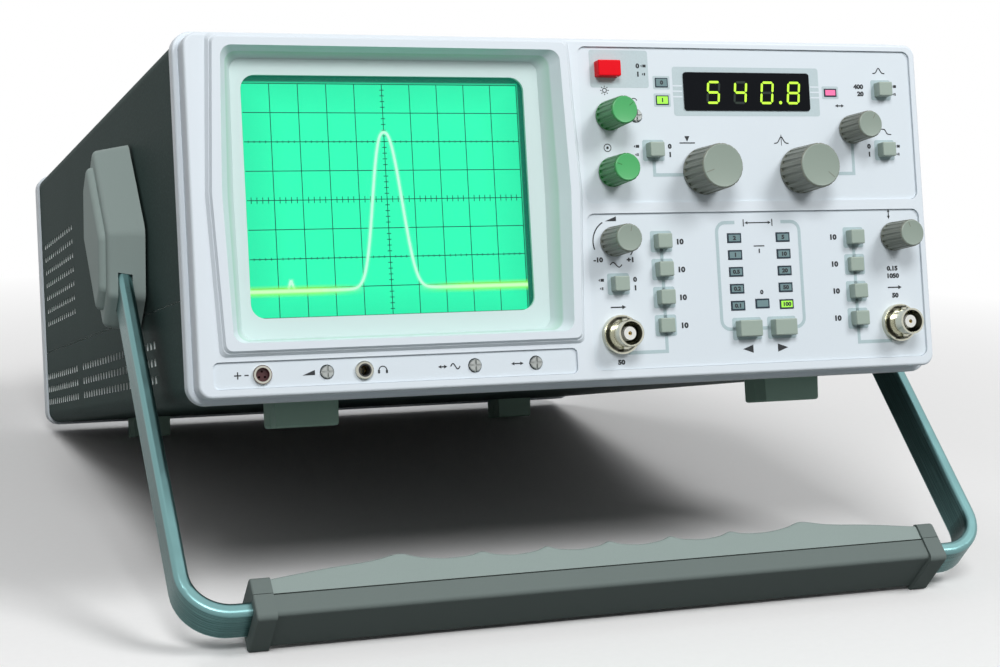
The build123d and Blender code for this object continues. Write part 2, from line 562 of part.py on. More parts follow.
def rear_frame():
    outer = frame_block(FRAME_W, FRAME_H, LIP_R, COVER_Y1, DEPTH)
    back_edges = outer.faces().sort_by(Axis.Y)[-1].edges()
    outer = fillet(back_edges, 1.5)
    nest = SKIN + INSET + FIT
    outer += frame_block(FRAME_W - 2 * nest, FRAME_H - 2 * nest, LIP_R - nest, COVER_Y1 - SPIGOT, DEPTH - 1)
    frame = outer - slab(rear_opening(0), COVER_Y1 - SPIGOT - 1, DEPTH + 1, 0, MID_Z)
    for x, z in screw_places():
        frame -= rod(x, z, SCREW_R + 0.1, DEPTH - 15, DEPTH + 1)
        frame -= rod(x, z, SCREW_HEAD_R + 0.2, DEPTH - SCREW_SINK, DEPTH + 1)
    return frame


def rear_opening(shrink):
    """The rear opening, chamfered at its corners to leave meat for the screws."""
    w, h = FRAME_W - 2 * REAR_WALL - 2 * shrink, FRAME_H - 2 * REAR_WALL - 2 * shrink
    return chamfer(Rectangle(w, h).vertices(), 6)


INLET_X, INLET_Z, INLET_W, INLET_H = 92.0, 42.0, 30.0, 48.0
REAR_PANEL_Y, REAR_PANEL_T = COVER_Y1 + 1.0, 2.0
MOUTH_W, MOUTH_H, MOUTH_D = 24.4, 17.0, 17.0


def rear_panel():
    plate = slab(rear_opening(FIT), REAR_PANEL_Y, REAR_PANEL_Y + REAR_PANEL_T, 0, MID_Z)
    hole = Rectangle(INLET_W - 2 + FIT, INLET_H - 2 + FIT)
    return plate - slab(hole, REAR_PANEL_Y - 1, DEPTH, INLET_X, INLET_Z)


def mains_inlet():
    """Three-pin appliance inlet with a fuse drawer above it."""
    back = REAR_PANEL_Y + REAR_PANEL_T
    mouth_z = INLET_Z - 11
    body = slab(RectangleRounded(INLET_W, INLET_H, 2), back, back + 2.5, INLET_X, INLET_Z)
    body += slab(Rectangle(INLET_W - 2, INLET_H - 2), back - 24, back, INLET_X, INLET_Z)
    face = back + 2.5
    body -= slab(RectangleRounded(MOUTH_W, MOUTH_H, 1.5), face - MOUTH_D, face + 1, INLET_X, mouth_z)
    body -= slab(Rectangle(22.2, 12.2), face - 18, face + 1, INLET_X, INLET_Z + 13)
    drawer = slab(Rectangle(22, 12), face - 17.5, face + 0.6, INLET_X, INLET_Z + 13)
    drawer -= slab(Rectangle(8, 1.6), face - 0.6, face + 1, INLET_X, INLET_Z + 17)
    pins = [slab(Rectangle(2, 4), face - 24, face - 5.5, INLET_X + dx, mouth_z + dz)
            for dx, dz in ((-7, -1.5), (7, -1.5), (0, 2.5))]
    return [body - pins, drawer, *pins]


def case_screws():
    screws = []
    for x, z in screw_places():
        seat = DEPTH - SCREW_SINK
        screw = rod(x, z, SCREW_HEAD_R, seat, DEPTH - 0.2) + rod(x, z, SCREW_R, seat - SCREW_L, seat)
        for w, h in ((3.4, 0.7), (0.7, 3.4)):
            screw -= slab(Rectangle(w, h), DEPTH - 1.2, DEPTH + 1, x, z)
        screws.append(screw)
    return screws


def foot(x, y, width):
    """A drafted foot that hangs from the lower cover, rounded along its bottom edges."""
    top = Pos(x, y + FOOT_L / 2, CASE_LOW) * Rectangle(width, FOOT_L)
    solid = extrude(top, -FOOT_H, taper=FOOT_DRAFT)
    back = block(x - width / 2, x + width / 2, y + FOOT_L / 2, y + FOOT_L, CASE_LOW - FOOT_H, CASE_LOW)
    solid += back
    low = solid.faces().sort_by(Axis.Z)[0]
    return fillet(low.edges(), FOOT_EDGE)


def feet():
    kinds = ((FRONT_FOOT_Y, FOOT_W), (REAR_FOOT_Y, REAR_FOOT_W))
    return [foot(sx * FOOT_X, y, width) for sx in (-1, 1) for y, width in kinds]


# ================================================================ chassis and inner modules
def tray_outline(shrink):
    """The bent sheet tray seen from the front, before its open top is cut off."""
    inset = SKIN + TRAY_AIR + shrink
    return RectangleRounded(CASE_W - 2 * inset, CASE_H - 2 * inset, LIP_R - INSET - inset)


def chassis():
    """One bent tray that lines the covers, with the pillars and the cradle that stand on it."""
    y0, y1 = COVER_Y0 + SPIGOT + 1, CHASSIS_END
    tray = slab(tray_outline(0), y0, y1, 0, MID_Z) - slab(tray_outline(SHEET), y0 - 1, y1 + 1, 0, MID_Z)
    tray -= block(-300, 300, 0, DEPTH, TRAY_TOP, 300)
    side = RAIL_OUT + 5
    tray -= block(-side, side, PIVOT_Y + 30, y1 - 12, SEAM_Z + 6, TRAY_TOP - 10) - middle_block()
    tray -= block(-side, side, y0 + 10, y1 - 12, PAN_TOP + 3, SEAM_Z - 4) - middle_block()
    tray -= side_slab(Pos(PIVOT_Y, PIVOT_Z) * Circle(PIN_R + FIT), -side, side)
    pillars = [Pos(x, y, (PAN_TOP + DECK_Z) / 2) * Cylinder(PILLAR_R, DECK_Z - PAN_TOP)
               for x in PILLARS_X for y in (*PILLARS_Y, y1 - 12)]
    cradle_top = TUBE_Z - NECK_R - SHIELD_AIR - SHIELD_T
    cradle = block(TUBE_X - CRADLE_HALF, TUBE_X + CRADLE_HALF, CRADLE_Y, CRADLE_Y + SHEET, PAN_TOP, cradle_top)
    return [tray, cradle, *pillars]


def middle_block():
    """Everything between the two sides of the tray."""
    side = RAIL_OUT - SHEET - 1
    return block(-side, side, 0, DEPTH, -50, 300)


def main_board():
    """The large horizontal board, cut out round the tube cradle."""
    half = CRADLE_HALF + CRADLE_AIR
    board = block(*MAIN_BOARD, DECK_Z, DECK_Z + BOARD_T)
    gap = CRADLE_AIR / 2
    return board - block(TUBE_X - half, TUBE_X + half, CRADLE_Y - gap, CRADLE_Y + SHEET + gap, 0, DECK_Z + 9)


def screened_modules():
    """Folded boxes: tracking generator below, tuner above it, and the filter strip behind."""
    base = DECK_Z + BOARD_T
    places = ((10, 128, 42, 150, base, BOX_SPLIT), (10, 128, 42, 150, BOX_SPLIT, 104),
              (15, 128, 160, 240, base, 84))
    boxes = []
    for x0, x1, y0, y1, z0, z1 in places:
        box = block(x0, x1, y0, y1, z0, z1)
        box = chamfer(box.faces().sort_by(Axis.Z)[-1].edges(), 0.8)
        inside = block(x0 + BOX_T, x1 - BOX_T, y0 + BOX_T, y1 - BOX_T, z0 - 1, z1 - BOX_T)
        boxes.append(box - inside)
    return boxes


def power_board():
    """Supply board with reservoir capacitors, and a finned heat sink."""
    y1 = CHASSIS_END - 3
    board = block(*SUPPLY_BOARD, y1, DECK_Z, DECK_Z + BOARD_T)
    top = DECK_Z + BOARD_T
    cans = [Pos(x, CANS_Y, top + CAN_H / 2) * Cylinder(CAN_R, CAN_H) for x in CANS_X]
    sink_x, _, sink_y0, sink_y1 = SINK
    sink = block(*SINK, top, top + SINK_T)
    for i in range(FINS):
        fin_x = sink_x + i * FIN_PITCH
        sink += block(fin_x, fin_x + FIN_T, sink_y0, sink_y1, top, top + SINK_H)
    return [board, *cans, sink]


def transformer():
    """Ring-core transformer standing on the pan with its clamping washer and bolt."""
    middle = Pos(TRANSFORMER_X, TRANSFORMER_Y, PAN_TOP + TRANSFORMER_H / 2)
    ring = middle * Cylinder(TRANSFORMER_R, TRANSFORMER_H)
    ring -= middle * Cylinder(TRANSFORMER_HOLE, TRANSFORMER_H + 2)
    ring = fillet(ring.edges().filter_by(GeomType.CIRCLE), TRANSFORMER_EDGE)
    washer = middle * Pos(0, 0, (TRANSFORMER_H + WASHER_T) / 2) * Cylinder(WASHER_R, WASHER_T)
    bolt = middle * Cylinder(BOLT_R, TRANSFORMER_H)
    return ring, washer, bolt


# ================================================================ handle, in its own frame
# The handle is drawn with its pivot at the origin and its arms straight down.
def handle_strip():
    """Flat steel strip bent to a U, with rounded edges and an eye at each end."""
    outer = Rectangle(2 * ARM_OUT, REACH + EYE)
    outer = fillet(outer.vertices().group_by(Axis.Y)[0], BEND_R)
    inner = Pos(0, STRIP_T / 2 + 1) * Rectangle(2 * ARM_IN, REACH + EYE - STRIP_T + 2)
    inner = fillet(inner.vertices().group_by(Axis.Y)[0], BEND_R - STRIP_T)
    band = outer - inner
    strip = slab(band, -STRIP_W / 2, STRIP_W / 2, 0, (EYE - REACH) / 2)
    long_edges = strip.edges().filter_by(lambda e: abs(abs(e.center().Y) - STRIP_W / 2) < 1e-4)
    strip = fillet(long_edges, STRIP_EDGE)
    return strip - side_slab(Circle(PIN_R + RUN), -300, 300)


def hub_outline(shrink):
    """Long plate outline with two opposite sloping corners, seen from the side (y, z)."""
    l, w = HUB_HALF_L, HUB_HALF_W
    along, across = HUB_CUT
    points = [(-w, l), (w - across, l), (w, l - along), (w, -l), (-w + across, -l), (-w, along - l)]
    outline = make_face(Polyline(*points, close=True))
    if shrink:
        outline = offset(outline, -shrink, kind=Kind.INTERSECTION)
    return fillet(outline.vertices(), HUB_R + max(0.0, -shrink))


def hub_shell():
    """Right-hand hub shell, open towards the case, with a channel that the strip lies in."""
    x0 = CASE_SIDE + HUB_GAP
    x1 = ARM_OUT + HUB_SKIN
    seat = Plane(origin=(x0, 0, 0), x_dir=(0, 1, 0), z_dir=(1, 0, 0))
    shell = extrude(seat * hub_outline(-HUB_FLARE), x1 - x0, taper=degrees(atan2(HUB_FLARE, x1 - x0)))
    shell = fillet(shell.faces().sort_by(Axis.X)[-1].edges(), HUB_EDGE)
    pad = side_slab(hub_outline(PAD_IN), x1 - 0.01, x1 + PAD_T)
    pad = fillet(pad.faces().sort_by(Axis.X)[-1].edges(), PAD_EDGE)
    shell += pad
    shell -= side_slab(hub_outline(HUB_WALL), x0 - 1, ARM_OUT + 0.01)
    channel = STRIP_W / 2 + CHANNEL_AIR
    ribs = [block(ARM_IN - 2, ARM_OUT + 0.5, s * channel - RIB_T / 2 + s * RIB_T / 2,
                  s * channel + RIB_T / 2 + s * RIB_T / 2, -RIB_HALF_L, RIB_HALF_L) for s in (-1, 1)]
    inside = side_slab(hub_outline(HUB_WALL - 0.5), x0, x1)
    shell += [rib & inside for rib in ribs]
    low = -HUB_HALF_L - HUB_FLARE - 1
    shell -= block(ARM_IN - CHANNEL_AIR, ARM_OUT + 0.01, -channel, channel, low, 0)
    return shell - side_slab(Circle(PIN_R + RUN), ARM_OUT - 1, ARM_OUT + PIN_END + 0.2)


def hub_pivot():
    """Right-hand pivot in the level frame: collar on the rail and the pin that carries the handle."""
    seat = Plane(origin=(0, PIVOT_Y, PIVOT_Z), x_dir=(0, 1, 0), z_dir=(1, 0, 0))

    def disc(radius, x0, x1):
        return extrude(seat.offset(x0) * Circle(radius), x1 - x0)

    pivot = disc(COLLAR_PIN_R, RAIL_OUT, ARM_IN - 0.1)
    pivot += disc(PIN_R, RAIL_OUT - SHEET - 1, ARM_OUT + PIN_END)
    return pivot + disc(PIN_R + 3, RAIL_OUT - SHEET - 3, RAIL_OUT - SHEET)


def grip_bar(x0, x1, low, high, half):
    """A straight bar of the grip, between two distances from the pivot."""
    return block(x0, x1, -half, half, -high, -low)


def grip_outer():
    """Lower grip moulding: a channel that takes the strip."""
    top, low = REACH - STRIP_T + GRIP_SEAM, REACH + GRIP_OUT
    bar = grip_bar(-GRIP_HALF, GRIP_HALF, top, low, GRIP_W / 2)
    edges = bar.edges().filter_by(Axis.X).group_by(Axis.Z)[0]
    bar = fillet(edges, GRIP_EDGE)
    return bar - grip_bar(-200, 200, top - 1, REACH, STRIP_W / 2 + 0.05)


def grip_inner():
    """Upper grip moulding with finger waves, hollow on the side of the strip."""
    seam = STRIP_T - REACH + GRIP_SEAM
    crests = [(-OUTER_CREST, GRIP_PEAK), (-WAVES[1], GRIP_WAVE), (-WAVES[0], GRIP_WAVE), (0, GRIP_WAVE)]
    crests += [(-x, rise) for x, rise in reversed(crests[:-1])]
    points = []
    for (xa, za), (xb, zb) in zip(crests, crests[1:]):
        points.append((xa, za))
        for t in (0.1, 0.28, 0.5, 0.72, 0.9):
            dip = (GRIP_WAVE - GRIP_VALLEY) * (1 - (2 * t - 1) ** 2)
            points.append((xa + (xb - xa) * t, za + (zb - za) * t - dip))
    points.append(crests[-1])
    slope = [(OUTER_CREST + (GRIP_HALF - OUTER_CREST) * t, GRIP_PEAK + (GRIP_END_RISE - GRIP_PEAK) * t)
             for t in (0.15, 0.5, 1.0)]
    points = [(-x, z) for x, z in reversed(slope)] + points + slope
    wave = Spline(*[(x, seam + z) for x, z in points])
    base = Polyline(wave @ 1, (GRIP_HALF, seam), (-GRIP_HALF, seam), wave @ 0)
    outline = make_face([wave, base])
    bar = slab(outline, -GRIP_W / 2, GRIP_W / 2)
    bar = fillet(bar.edges().filter_by(GeomType.BSPLINE), GRIP_ROUND)
    return bar - block(3 - GRIP_HALF, GRIP_HALF - 3, 3 - GRIP_W / 2, GRIP_W / 2 - 3, seam - 1, seam + 3)


def grip_caps():
    """Both halves of the cap that closes each end of the grip round the strip."""
    seam = REACH - STRIP_T
    halves = []
    for x0, x1 in ((GRIP_HALF + 0.1, GRIP_HALF + CAP_L), (-GRIP_HALF - CAP_L, -GRIP_HALF - 0.1)):
        cap = grip_bar(x0, x1, seam - CAP_RISE, CAP_LOW, CAP_HALF)
        cap = fillet(cap.edges().filter_by(Axis.X), CAP_R)
        outer_face = cap.faces().sort_by(Axis.X)[-1 if x0 > 0 else 0]
        cap = fillet(outer_face.edges(), 0.8)
        cap -= grip_bar(x0 - 1, x1 + 1, seam - 0.05, REACH + 0.05, STRIP_W / 2 + 0.05)
        halves.append(cap & grip_bar(x0 - 1, x1 + 1, seam + 0.1, CAP_LOW + 1, 30))
        halves.append(cap & grip_bar(x0 - 1, x1 + 1, seam - CAP_RISE - 1, seam - 0.1, 30))
    return halves


def on_handle(*shapes):
    return [shape.moved(HANDLE) for shape in shapes]


# ================================================================ nodes
keep("front_frame", front_frame())
keep("panel_foils", *panel_foils())
keep("screen_bezel", screen_bezel())
keep("contrast_filter", contrast_filter())
keep("picture_tube", picture_tube())
keep("tube_shield", tube_shield())
keep("tube_socket", tube_socket())
keep("display_window", display_window())
keep("display_module", display_module())
keep("indicator_lamps", *lamp_bars())
keep("signal_connectors", *[s for place in CONNECTORS for s in connector(*place)])
keep("probe_power_socket", *probe_socket())
keep("phone_jack", phone_jack())
keep("control_boards", *control_boards())
keep("switch_bodies", *switch_bodies())
keep("potentiometer_bodies", *potentiometer_bodies())
for name, (x, z, style) in KNOBS.items():
    keep(name, *knob(x, z, style))
for name, (x, z, size, pressed) in BUTTONS.items():
    keep(name, button(x, z, size, pressed))
for name, (x, z) in TRIMMERS.items():
    keep(name, trimmer(x, z))
keep("upper_cover", upper_cover())
keep("lower_cover", lower_cover())
keep("rear_frame", rear_frame())
keep("rear_panel", rear_panel())
keep("mains_inlet", *mains_inlet())
keep("rear_screws", *case_screws())
keep("feet", *feet())
keep("chassis", *chassis())
keep("main_board", main_board())
keep("screened_modules", *screened_modules())
keep("power_supply_board", *power_board())
keep("mains_transformer", *transformer())
keep("hub_pivots", hub_pivot(), mirrored(hub_pivot()))
keep("handle_strip", *on_handle(handle_strip()))
keep("hub_shells", *on_handle(hub_shell(), mirrored(hub_shell())))
keep("grip_outer", *on_handle(grip_outer()))
keep("grip_inner", *on_handle(grip_inner()))
keep("grip_end_caps", *on_handle(*grip_caps()))

SHIFT = middle_shift([solid for solids in NODES.values() for solid in solids])
STANCE = Location((0, SHIFT, 0)) * TIPPED

for name, solids in NODES.items():
    node = Compound(children=[solid.moved(STANCE) for solid in solids])
    export_step(node, f"parts/{name}.step")
print(f"{len(NODES)} nodes, tilt {TILT:.2f} degrees, lift {LIFT:.2f} mm, shift {SHIFT:.2f} mm")
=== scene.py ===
# %% [markdown]
# # A bench spectrum analyzer, from bare frame to finished picture
# The metal and plastic parts come ready made from the CAD frame. This lesson gives each its
# finish, adds what is printed or glows, and sets up the light and the camera. Each step first says
# what the thing is on the real instrument and how it could be made.

# %% Load the frame
import bpy
import bmesh
import json
import math
from mathutils import Matrix, Vector


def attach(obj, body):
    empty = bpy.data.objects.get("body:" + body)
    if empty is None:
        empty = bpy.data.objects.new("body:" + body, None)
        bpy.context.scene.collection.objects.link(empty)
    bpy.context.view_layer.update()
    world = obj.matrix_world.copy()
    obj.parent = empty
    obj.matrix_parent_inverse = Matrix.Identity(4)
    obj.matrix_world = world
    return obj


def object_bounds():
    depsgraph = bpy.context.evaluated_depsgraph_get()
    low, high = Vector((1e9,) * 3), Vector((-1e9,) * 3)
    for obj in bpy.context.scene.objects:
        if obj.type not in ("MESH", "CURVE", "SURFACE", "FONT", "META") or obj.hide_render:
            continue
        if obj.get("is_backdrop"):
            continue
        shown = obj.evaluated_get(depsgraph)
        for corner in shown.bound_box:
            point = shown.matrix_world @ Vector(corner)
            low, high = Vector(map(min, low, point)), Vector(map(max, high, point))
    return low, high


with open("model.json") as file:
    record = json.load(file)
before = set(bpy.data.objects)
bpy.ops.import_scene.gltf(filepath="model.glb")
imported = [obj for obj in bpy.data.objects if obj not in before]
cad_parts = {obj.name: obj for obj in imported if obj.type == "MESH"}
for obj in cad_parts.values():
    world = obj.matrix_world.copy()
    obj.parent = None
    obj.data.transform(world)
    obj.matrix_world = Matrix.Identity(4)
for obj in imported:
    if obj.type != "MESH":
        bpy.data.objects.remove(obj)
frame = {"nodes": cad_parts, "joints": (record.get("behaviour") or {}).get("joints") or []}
cad_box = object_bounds()
nodes = frame["nodes"]

# %% [markdown]
# ## A frame of reference on the tilted panel
# The instrument leans back on its handle, so the joints tell where the panel is: the handle joint
# has a known place on the level case, and a knob's axis points straight out of the panel.
# Everything below is placed in level millimetres: x right, y into the case, z up the panel.

# %% Level millimetres to table metres
MM = 0.001
PIVOT = (0.0, 98.0, 64.0)
joints = {joint["name"]: joint for joint in frame["joints"]}
out_of_panel = Vector(joints["level_turn"]["axis"])
INTO = -out_of_panel
RIGHT = Vector((1, 0, 0))
UP = RIGHT.cross(INTO)
ORIGIN = Vector(joints["handle_swing"]["pos_m"]) - (INTO * PIVOT[1] + UP * PIVOT[2]) * MM


def at(x, y, z):
    """A point given in level millimetres, in the table frame, in metres."""
    return ORIGIN + (RIGHT * x + INTO * y + UP * z) * MM


def level(point):
    """The level millimetres of a point in the table frame."""
    offset = (Vector(point) - ORIGIN) / MM
    return Vector((offset.dot(RIGHT), offset.dot(INTO), offset.dot(UP)))


def corners_of(points):
    """Lowest and highest corner of a set of points."""
    return [Vector([pick(values) for values in zip(*points)]) for pick in (min, max)]


def level_box(node):
    """Lowest and highest corner of a CAD node in level millimetres."""
    return corners_of([level(vertex.co) for vertex in nodes[node].data.vertices])


def middle(box):
    """The middle of a box as seen from the front."""
    low, high = box
    return (low.x + high.x) / 2, (low.z + high.z) / 2


tilt = math.degrees(math.asin(out_of_panel.z))
print(f"the panel leans back {tilt:.2f} degrees")

# %% [markdown]
# ## Sizes that the printed and glowing pieces share
# Panels, tube face and display window are CAD parts, so their edges are measured from their
# nodes. Only what is printed needs sizes of its own.

# %% Shared sizes
tube_low, tube_high = level_box("picture_tube")
window_low, window_high = level_box("display_window")
case_low = level_box("lower_cover")[0]
case_high = level_box("upper_cover")[1]
FOIL = level_box("panel_foils")[0].y
INK_THICK, PROUD = 0.04, 0.03
INK_FACE, INK_TOP = FOIL - INK_THICK, FOIL - 2 * INK_THICK
TURN = "_turn"
knob_places = {name.removesuffix(TURN): level(joint["pos_m"])
               for name, joint in joints.items() if name.endswith(TURN)}
button_nodes = sorted(name for name in nodes if name.endswith("_button") or "_button_" in name)
print("foil surface", round(FOIL, 2), "tube face", round(tube_low.y, 2), "buttons", len(button_nodes))

# %% [markdown]
# ## Writing shader maths as Python
# Every finish is a small program of nodes, hard to read when wired by hand. One class wraps a
# socket and lets Python's operators add the Math nodes. One method makes any other node.

# %% The socket wrapper
def operator(operation, reflected=False):
    """A Python operator that adds one Math node, its operands swapped if it is reflected."""
    def apply(self, other):
        return self.math(operation, *((other, self) if reflected else (self, other)))
    return apply


class Socket:
    """An output socket that can be used in Python expressions."""

    def __init__(self, tree, socket):
        self.tree, self.socket = tree, socket

    def math(self, operation, *values, clamp=False):
        settings = {"operation": operation, "use_clamp": clamp}
        return make_node(self.tree, "Math", settings, dict(enumerate(values)))

    __add__, __radd__ = operator("ADD"), operator("ADD", True)
    __sub__, __rsub__ = operator("SUBTRACT"), operator("SUBTRACT", True)
    __mul__, __rmul__ = operator("MULTIPLY"), operator("MULTIPLY", True)
    __truediv__, __rtruediv__ = operator("DIVIDE"), operator("DIVIDE", True)
    __pow__, __rpow__ = operator("POWER"), operator("POWER", True)
    __gt__, __lt__ = operator("GREATER_THAN"), operator("LESS_THAN")
    at_least, at_most = operator("MAXIMUM"), operator("MINIMUM")

    def __abs__(self):
        return self.math("ABSOLUTE", self)

    def clamped(self):
        return self.math("ADD", self, 0.0, clamp=True)


def make_node(tree, kind, settings=None, inputs=None, output=0):
    """Add one shader node, set it up, feed its sockets, and return one output wrapped."""
    node = tree.nodes.new("ShaderNode" + kind)
    for name, value in (settings or {}).items():
        if name == "stops":
            fill_ramp(node.color_ramp, value)
        else:
            setattr(node, name, value)
    for key, value in (inputs or {}).items():
        if isinstance(value, Socket):
            tree.links.new(value.socket, node.inputs[key])
        else:
            node.inputs[key].default_value = value
    return Socket(tree, node.outputs[output])


def fill_ramp(ramp, stops):
    """Give a colour ramp its stops, each a position and a grey value."""
    while len(ramp.elements) < len(stops):
        ramp.elements.new(1.0)
    for element, (place, grey) in zip(ramp.elements, stops):
        element.position, element.color = place, (grey, grey, grey, 1)


print("socket wrapper ready")

# %% [markdown]
# ## The pieces that most finishes share
# A painted or moulded surface is never one flat colour. A broad noise shifts its brightness, and
# a fine noise gives the grain that catches the light. The helpers make both, so each finish only
# states its own numbers.

# %% Shader helpers
finishes = {}


class Finish:
    """A new material with its shader, and the parts that most finishes use."""

    def __init__(self, name, **fixed):
        material = finishes[name] = bpy.data.materials.new(name)
        material.use_nodes = True
        self.tree = material.node_tree
        self.shader = self.tree.nodes["Principled BSDF"]
        for socket, value in fixed.items():
            self.shader.inputs[socket.replace("_", " ")].default_value = value

    def make(self, kind, settings=None, inputs=None, output=0):
        return make_node(self.tree, kind, settings, inputs, output)

    def vector(self, operation, *values, output=0):
        settings = {"operation": operation}
        return self.make("VectorMath", settings, dict(enumerate(values)), output)

    def place(self):
        """Where a point is on its own object, in metres."""
        return self.make("TexCoord", output="Object")

    def along(self, direction, start):
        """Millimetres from a start point along a direction."""
        offset = self.vector("SUBTRACT", self.place(), start)
        return self.vector("DOT_PRODUCT", offset, direction, output="Value") * (1 / MM)

    def noise(self, grain_mm, detail=3.0):
        """Noise between 0 and 1 whose lumps are about grain_mm across."""
        inputs = {"Vector": self.place(), "Scale": 1 / (grain_mm * MM), "Detail": detail}
        return self.make("TexNoise", {}, inputs)

    def ramp(self, value, *stops):
        return self.make("ValToRGB", {"stops": stops}, {0: value})

    def mix(self, amount, first, second):
        """A blend of two colours. The colour sockets of a Mix node are its inputs 6 and 7."""
        inputs = {0: amount, 6: rgba(first), 7: rgba(second)}
        return self.make("Mix", {"data_type": "RGBA"}, inputs, 2)

    def drift(self, amount, colour, share):
        """A colour that wanders by a share of itself, darker to lighter."""
        return self.mix(amount, shaded(colour, 1 - share), shaded(colour, 1 + share))

    def bump(self, height, depth_mm, strength=1.0):
        """A bumped normal from a height between 0 and 1."""
        inputs = {"Height": height, "Distance": depth_mm * MM, "Strength": strength}
        return self.make("Bump", {}, inputs)

    def feed(self, **sockets):
        """Link values that change over the surface to the shader."""
        for name, value in sockets.items():
            self.tree.links.new(value.socket, self.shader.inputs[name.replace("_", " ")])


def rgba(colour):
    """Three numbers become a colour with full alpha; a socket stays as it is."""
    return colour if isinstance(colour, Socket) else (*colour, 1.0)


def shaded(colour, factor):
    """A colour made lighter or darker."""
    return tuple(channel * factor for channel in colour)


print("finish helpers ready")

# %% [markdown]
# ## Moulded plastic
# Frame, bezel, grip, hubs, knobs and buttons are injection mouldings, whose moulds leave a very
# fine grain. At under half a millimetre a bump is enough: the eye reads the broken-up highlight.

# %% Moulded plastic finish
def moulded(name, colour, grain, depth, rough, drift=0.05, specks=0.04, shine=0.42):
    plastic = Finish(name, Specular_IOR_Level=shine)
    fine, broad = plastic.noise(grain, 2.0), plastic.noise(38.0, 2.0)
    tone = plastic.drift(broad, colour, drift)
    tone = plastic.mix((fine - 0.5) * specks * 8, tone, shaded(colour, 0.72))
    worn = rough + (fine - 0.5) * 0.12 + (broad - 0.5) * 0.08
    plastic.feed(Base_Color=tone, Roughness=worn, Normal=plastic.bump(fine, depth))


FACE = (0.70, 0.765, 0.82)
GRIP = (0.27, 0.33, 0.315)
MOULDINGS = {  # colour, grain and depth in mm, roughness, then any drift, specks and shine
    "face_moulding": (FACE, 0.5, 0.006, 0.42, 0.015, 0.01),
    "grip_moulding": (GRIP, 0.42, 0.03, 0.55, 0.03, 0.07, 0.06),
    # The hubs and the outer grip pieces are the grip's own plastic, made lighter on the hubs as painted light
    # and darker on the outer pieces as painted shade.
    "hub_moulding": (shaded(GRIP, 1.3), 0.42, 0.03, 0.55, 0.03, 0.04, 0.06),
    "outer_moulding": (shaded(GRIP, 0.55), 0.42, 0.03, 0.55, 0.03, 0.04, 0.04),
    "knob_moulding": ((0.20, 0.215, 0.18), 0.3, 0.01, 0.38),
    # The disc colours are lighter than their knobs, partly as painted light on the knob fronts.
    "knob_disc": ((0.265, 0.325, 0.28), 0.3, 0.008, 0.34),
    "green_moulding": ((0.035, 0.22, 0.06), 0.3, 0.01, 0.36),
    "green_disc": ((0.07, 0.40, 0.13), 0.3, 0.008, 0.33),
    "button_moulding": ((0.32, 0.395, 0.345), 0.4, 0.008, 0.36),
    "red_moulding": ((0.80, 0.003, 0.012), 0.4, 0.006, 0.35, 0.05, 0.04, 0.1),
    "foot_moulding": ((0.38, 0.56, 0.47), 0.5, 0.02, 0.6, 0.05, 0.04, 0.1),
    "black_moulding": ((0.012, 0.013, 0.014), 0.4, 0.02, 0.45),
    "maroon_moulding": ((0.05, 0.010, 0.012), 0.3, 0.01, 0.4),
    "display_black": ((0.003, 0.004, 0.006), 0.8, 0.002, 0.2, 0.05, 0.0, 0.08),
    "foil_ink": ((0.675, 0.745, 0.80), 0.9, 0.004, 0.46, 0.012, 0.006),
    "white_insulator": ((0.72, 0.73, 0.70), 0.4, 0.004, 0.35, 0.05, 0.01),
}
for name, settings in MOULDINGS.items():
    moulded(name, *settings)
print("moulded finishes:", len(MOULDINGS))

# %% The screen surround, with the green light of the tube down in its well painted on
well = Finish("screen_well", Specular_IOR_Level=0.3)
down = well.along(INTO, at(0, FOIL, 0)) / (tube_low.y - FOIL)
fine = well.noise(0.5, 2.0)
# Painted glow: the walls turn green with depth, standing in for the tube's light falling on them.
green = well.ramp(down, (0.03, 0.0), (0.12, 0.9), (0.5, 0.45), (1.0, 0.6))
well.feed(Base_Color=well.mix(green, FACE, (0.46, 0.66, 0.585)), Roughness=0.42 + (fine - 0.5) * 0.1,
          Normal=well.bump(fine, 0.006))
print("the well is", round(tube_low.y - FOIL, 1), "mm deep")

# %% [markdown]
# ## Sprayed case paint
# The covers wear a structured paint: soft bumps about half a millimetre across that scatter the
# light, made by a cell pattern softened with noise. Dust and handling lighten broad patches. In the
# slots cut through the sheet the colour turns to a pale metal, painted light on the slot walls that
# face the front: the finish measures how deep a point lies under the rounded outline of the case.

# %% Structured paint
CASE_R, SPRAYED = 5.5, 0.12
PAINT, PAINTED_SLOT_LIGHT = (0.036, 0.058, 0.054), (0.80, 0.85, 0.84)
middle_z, half_z = (case_low.z + case_high.z) / 2, (case_high.z - case_low.z) / 2
paint = Finish("case_paint", Specular_IOR_Level=0.02)
across = abs(paint.along(RIGHT, at(0, 0, 0))) - (case_high.x - CASE_R)
up = abs(paint.along(UP, at(0, 0, middle_z))) - (half_z - CASE_R)
round_corner = (across.at_least(0.0) ** 2 + up.at_least(0.0) ** 2) ** 0.5
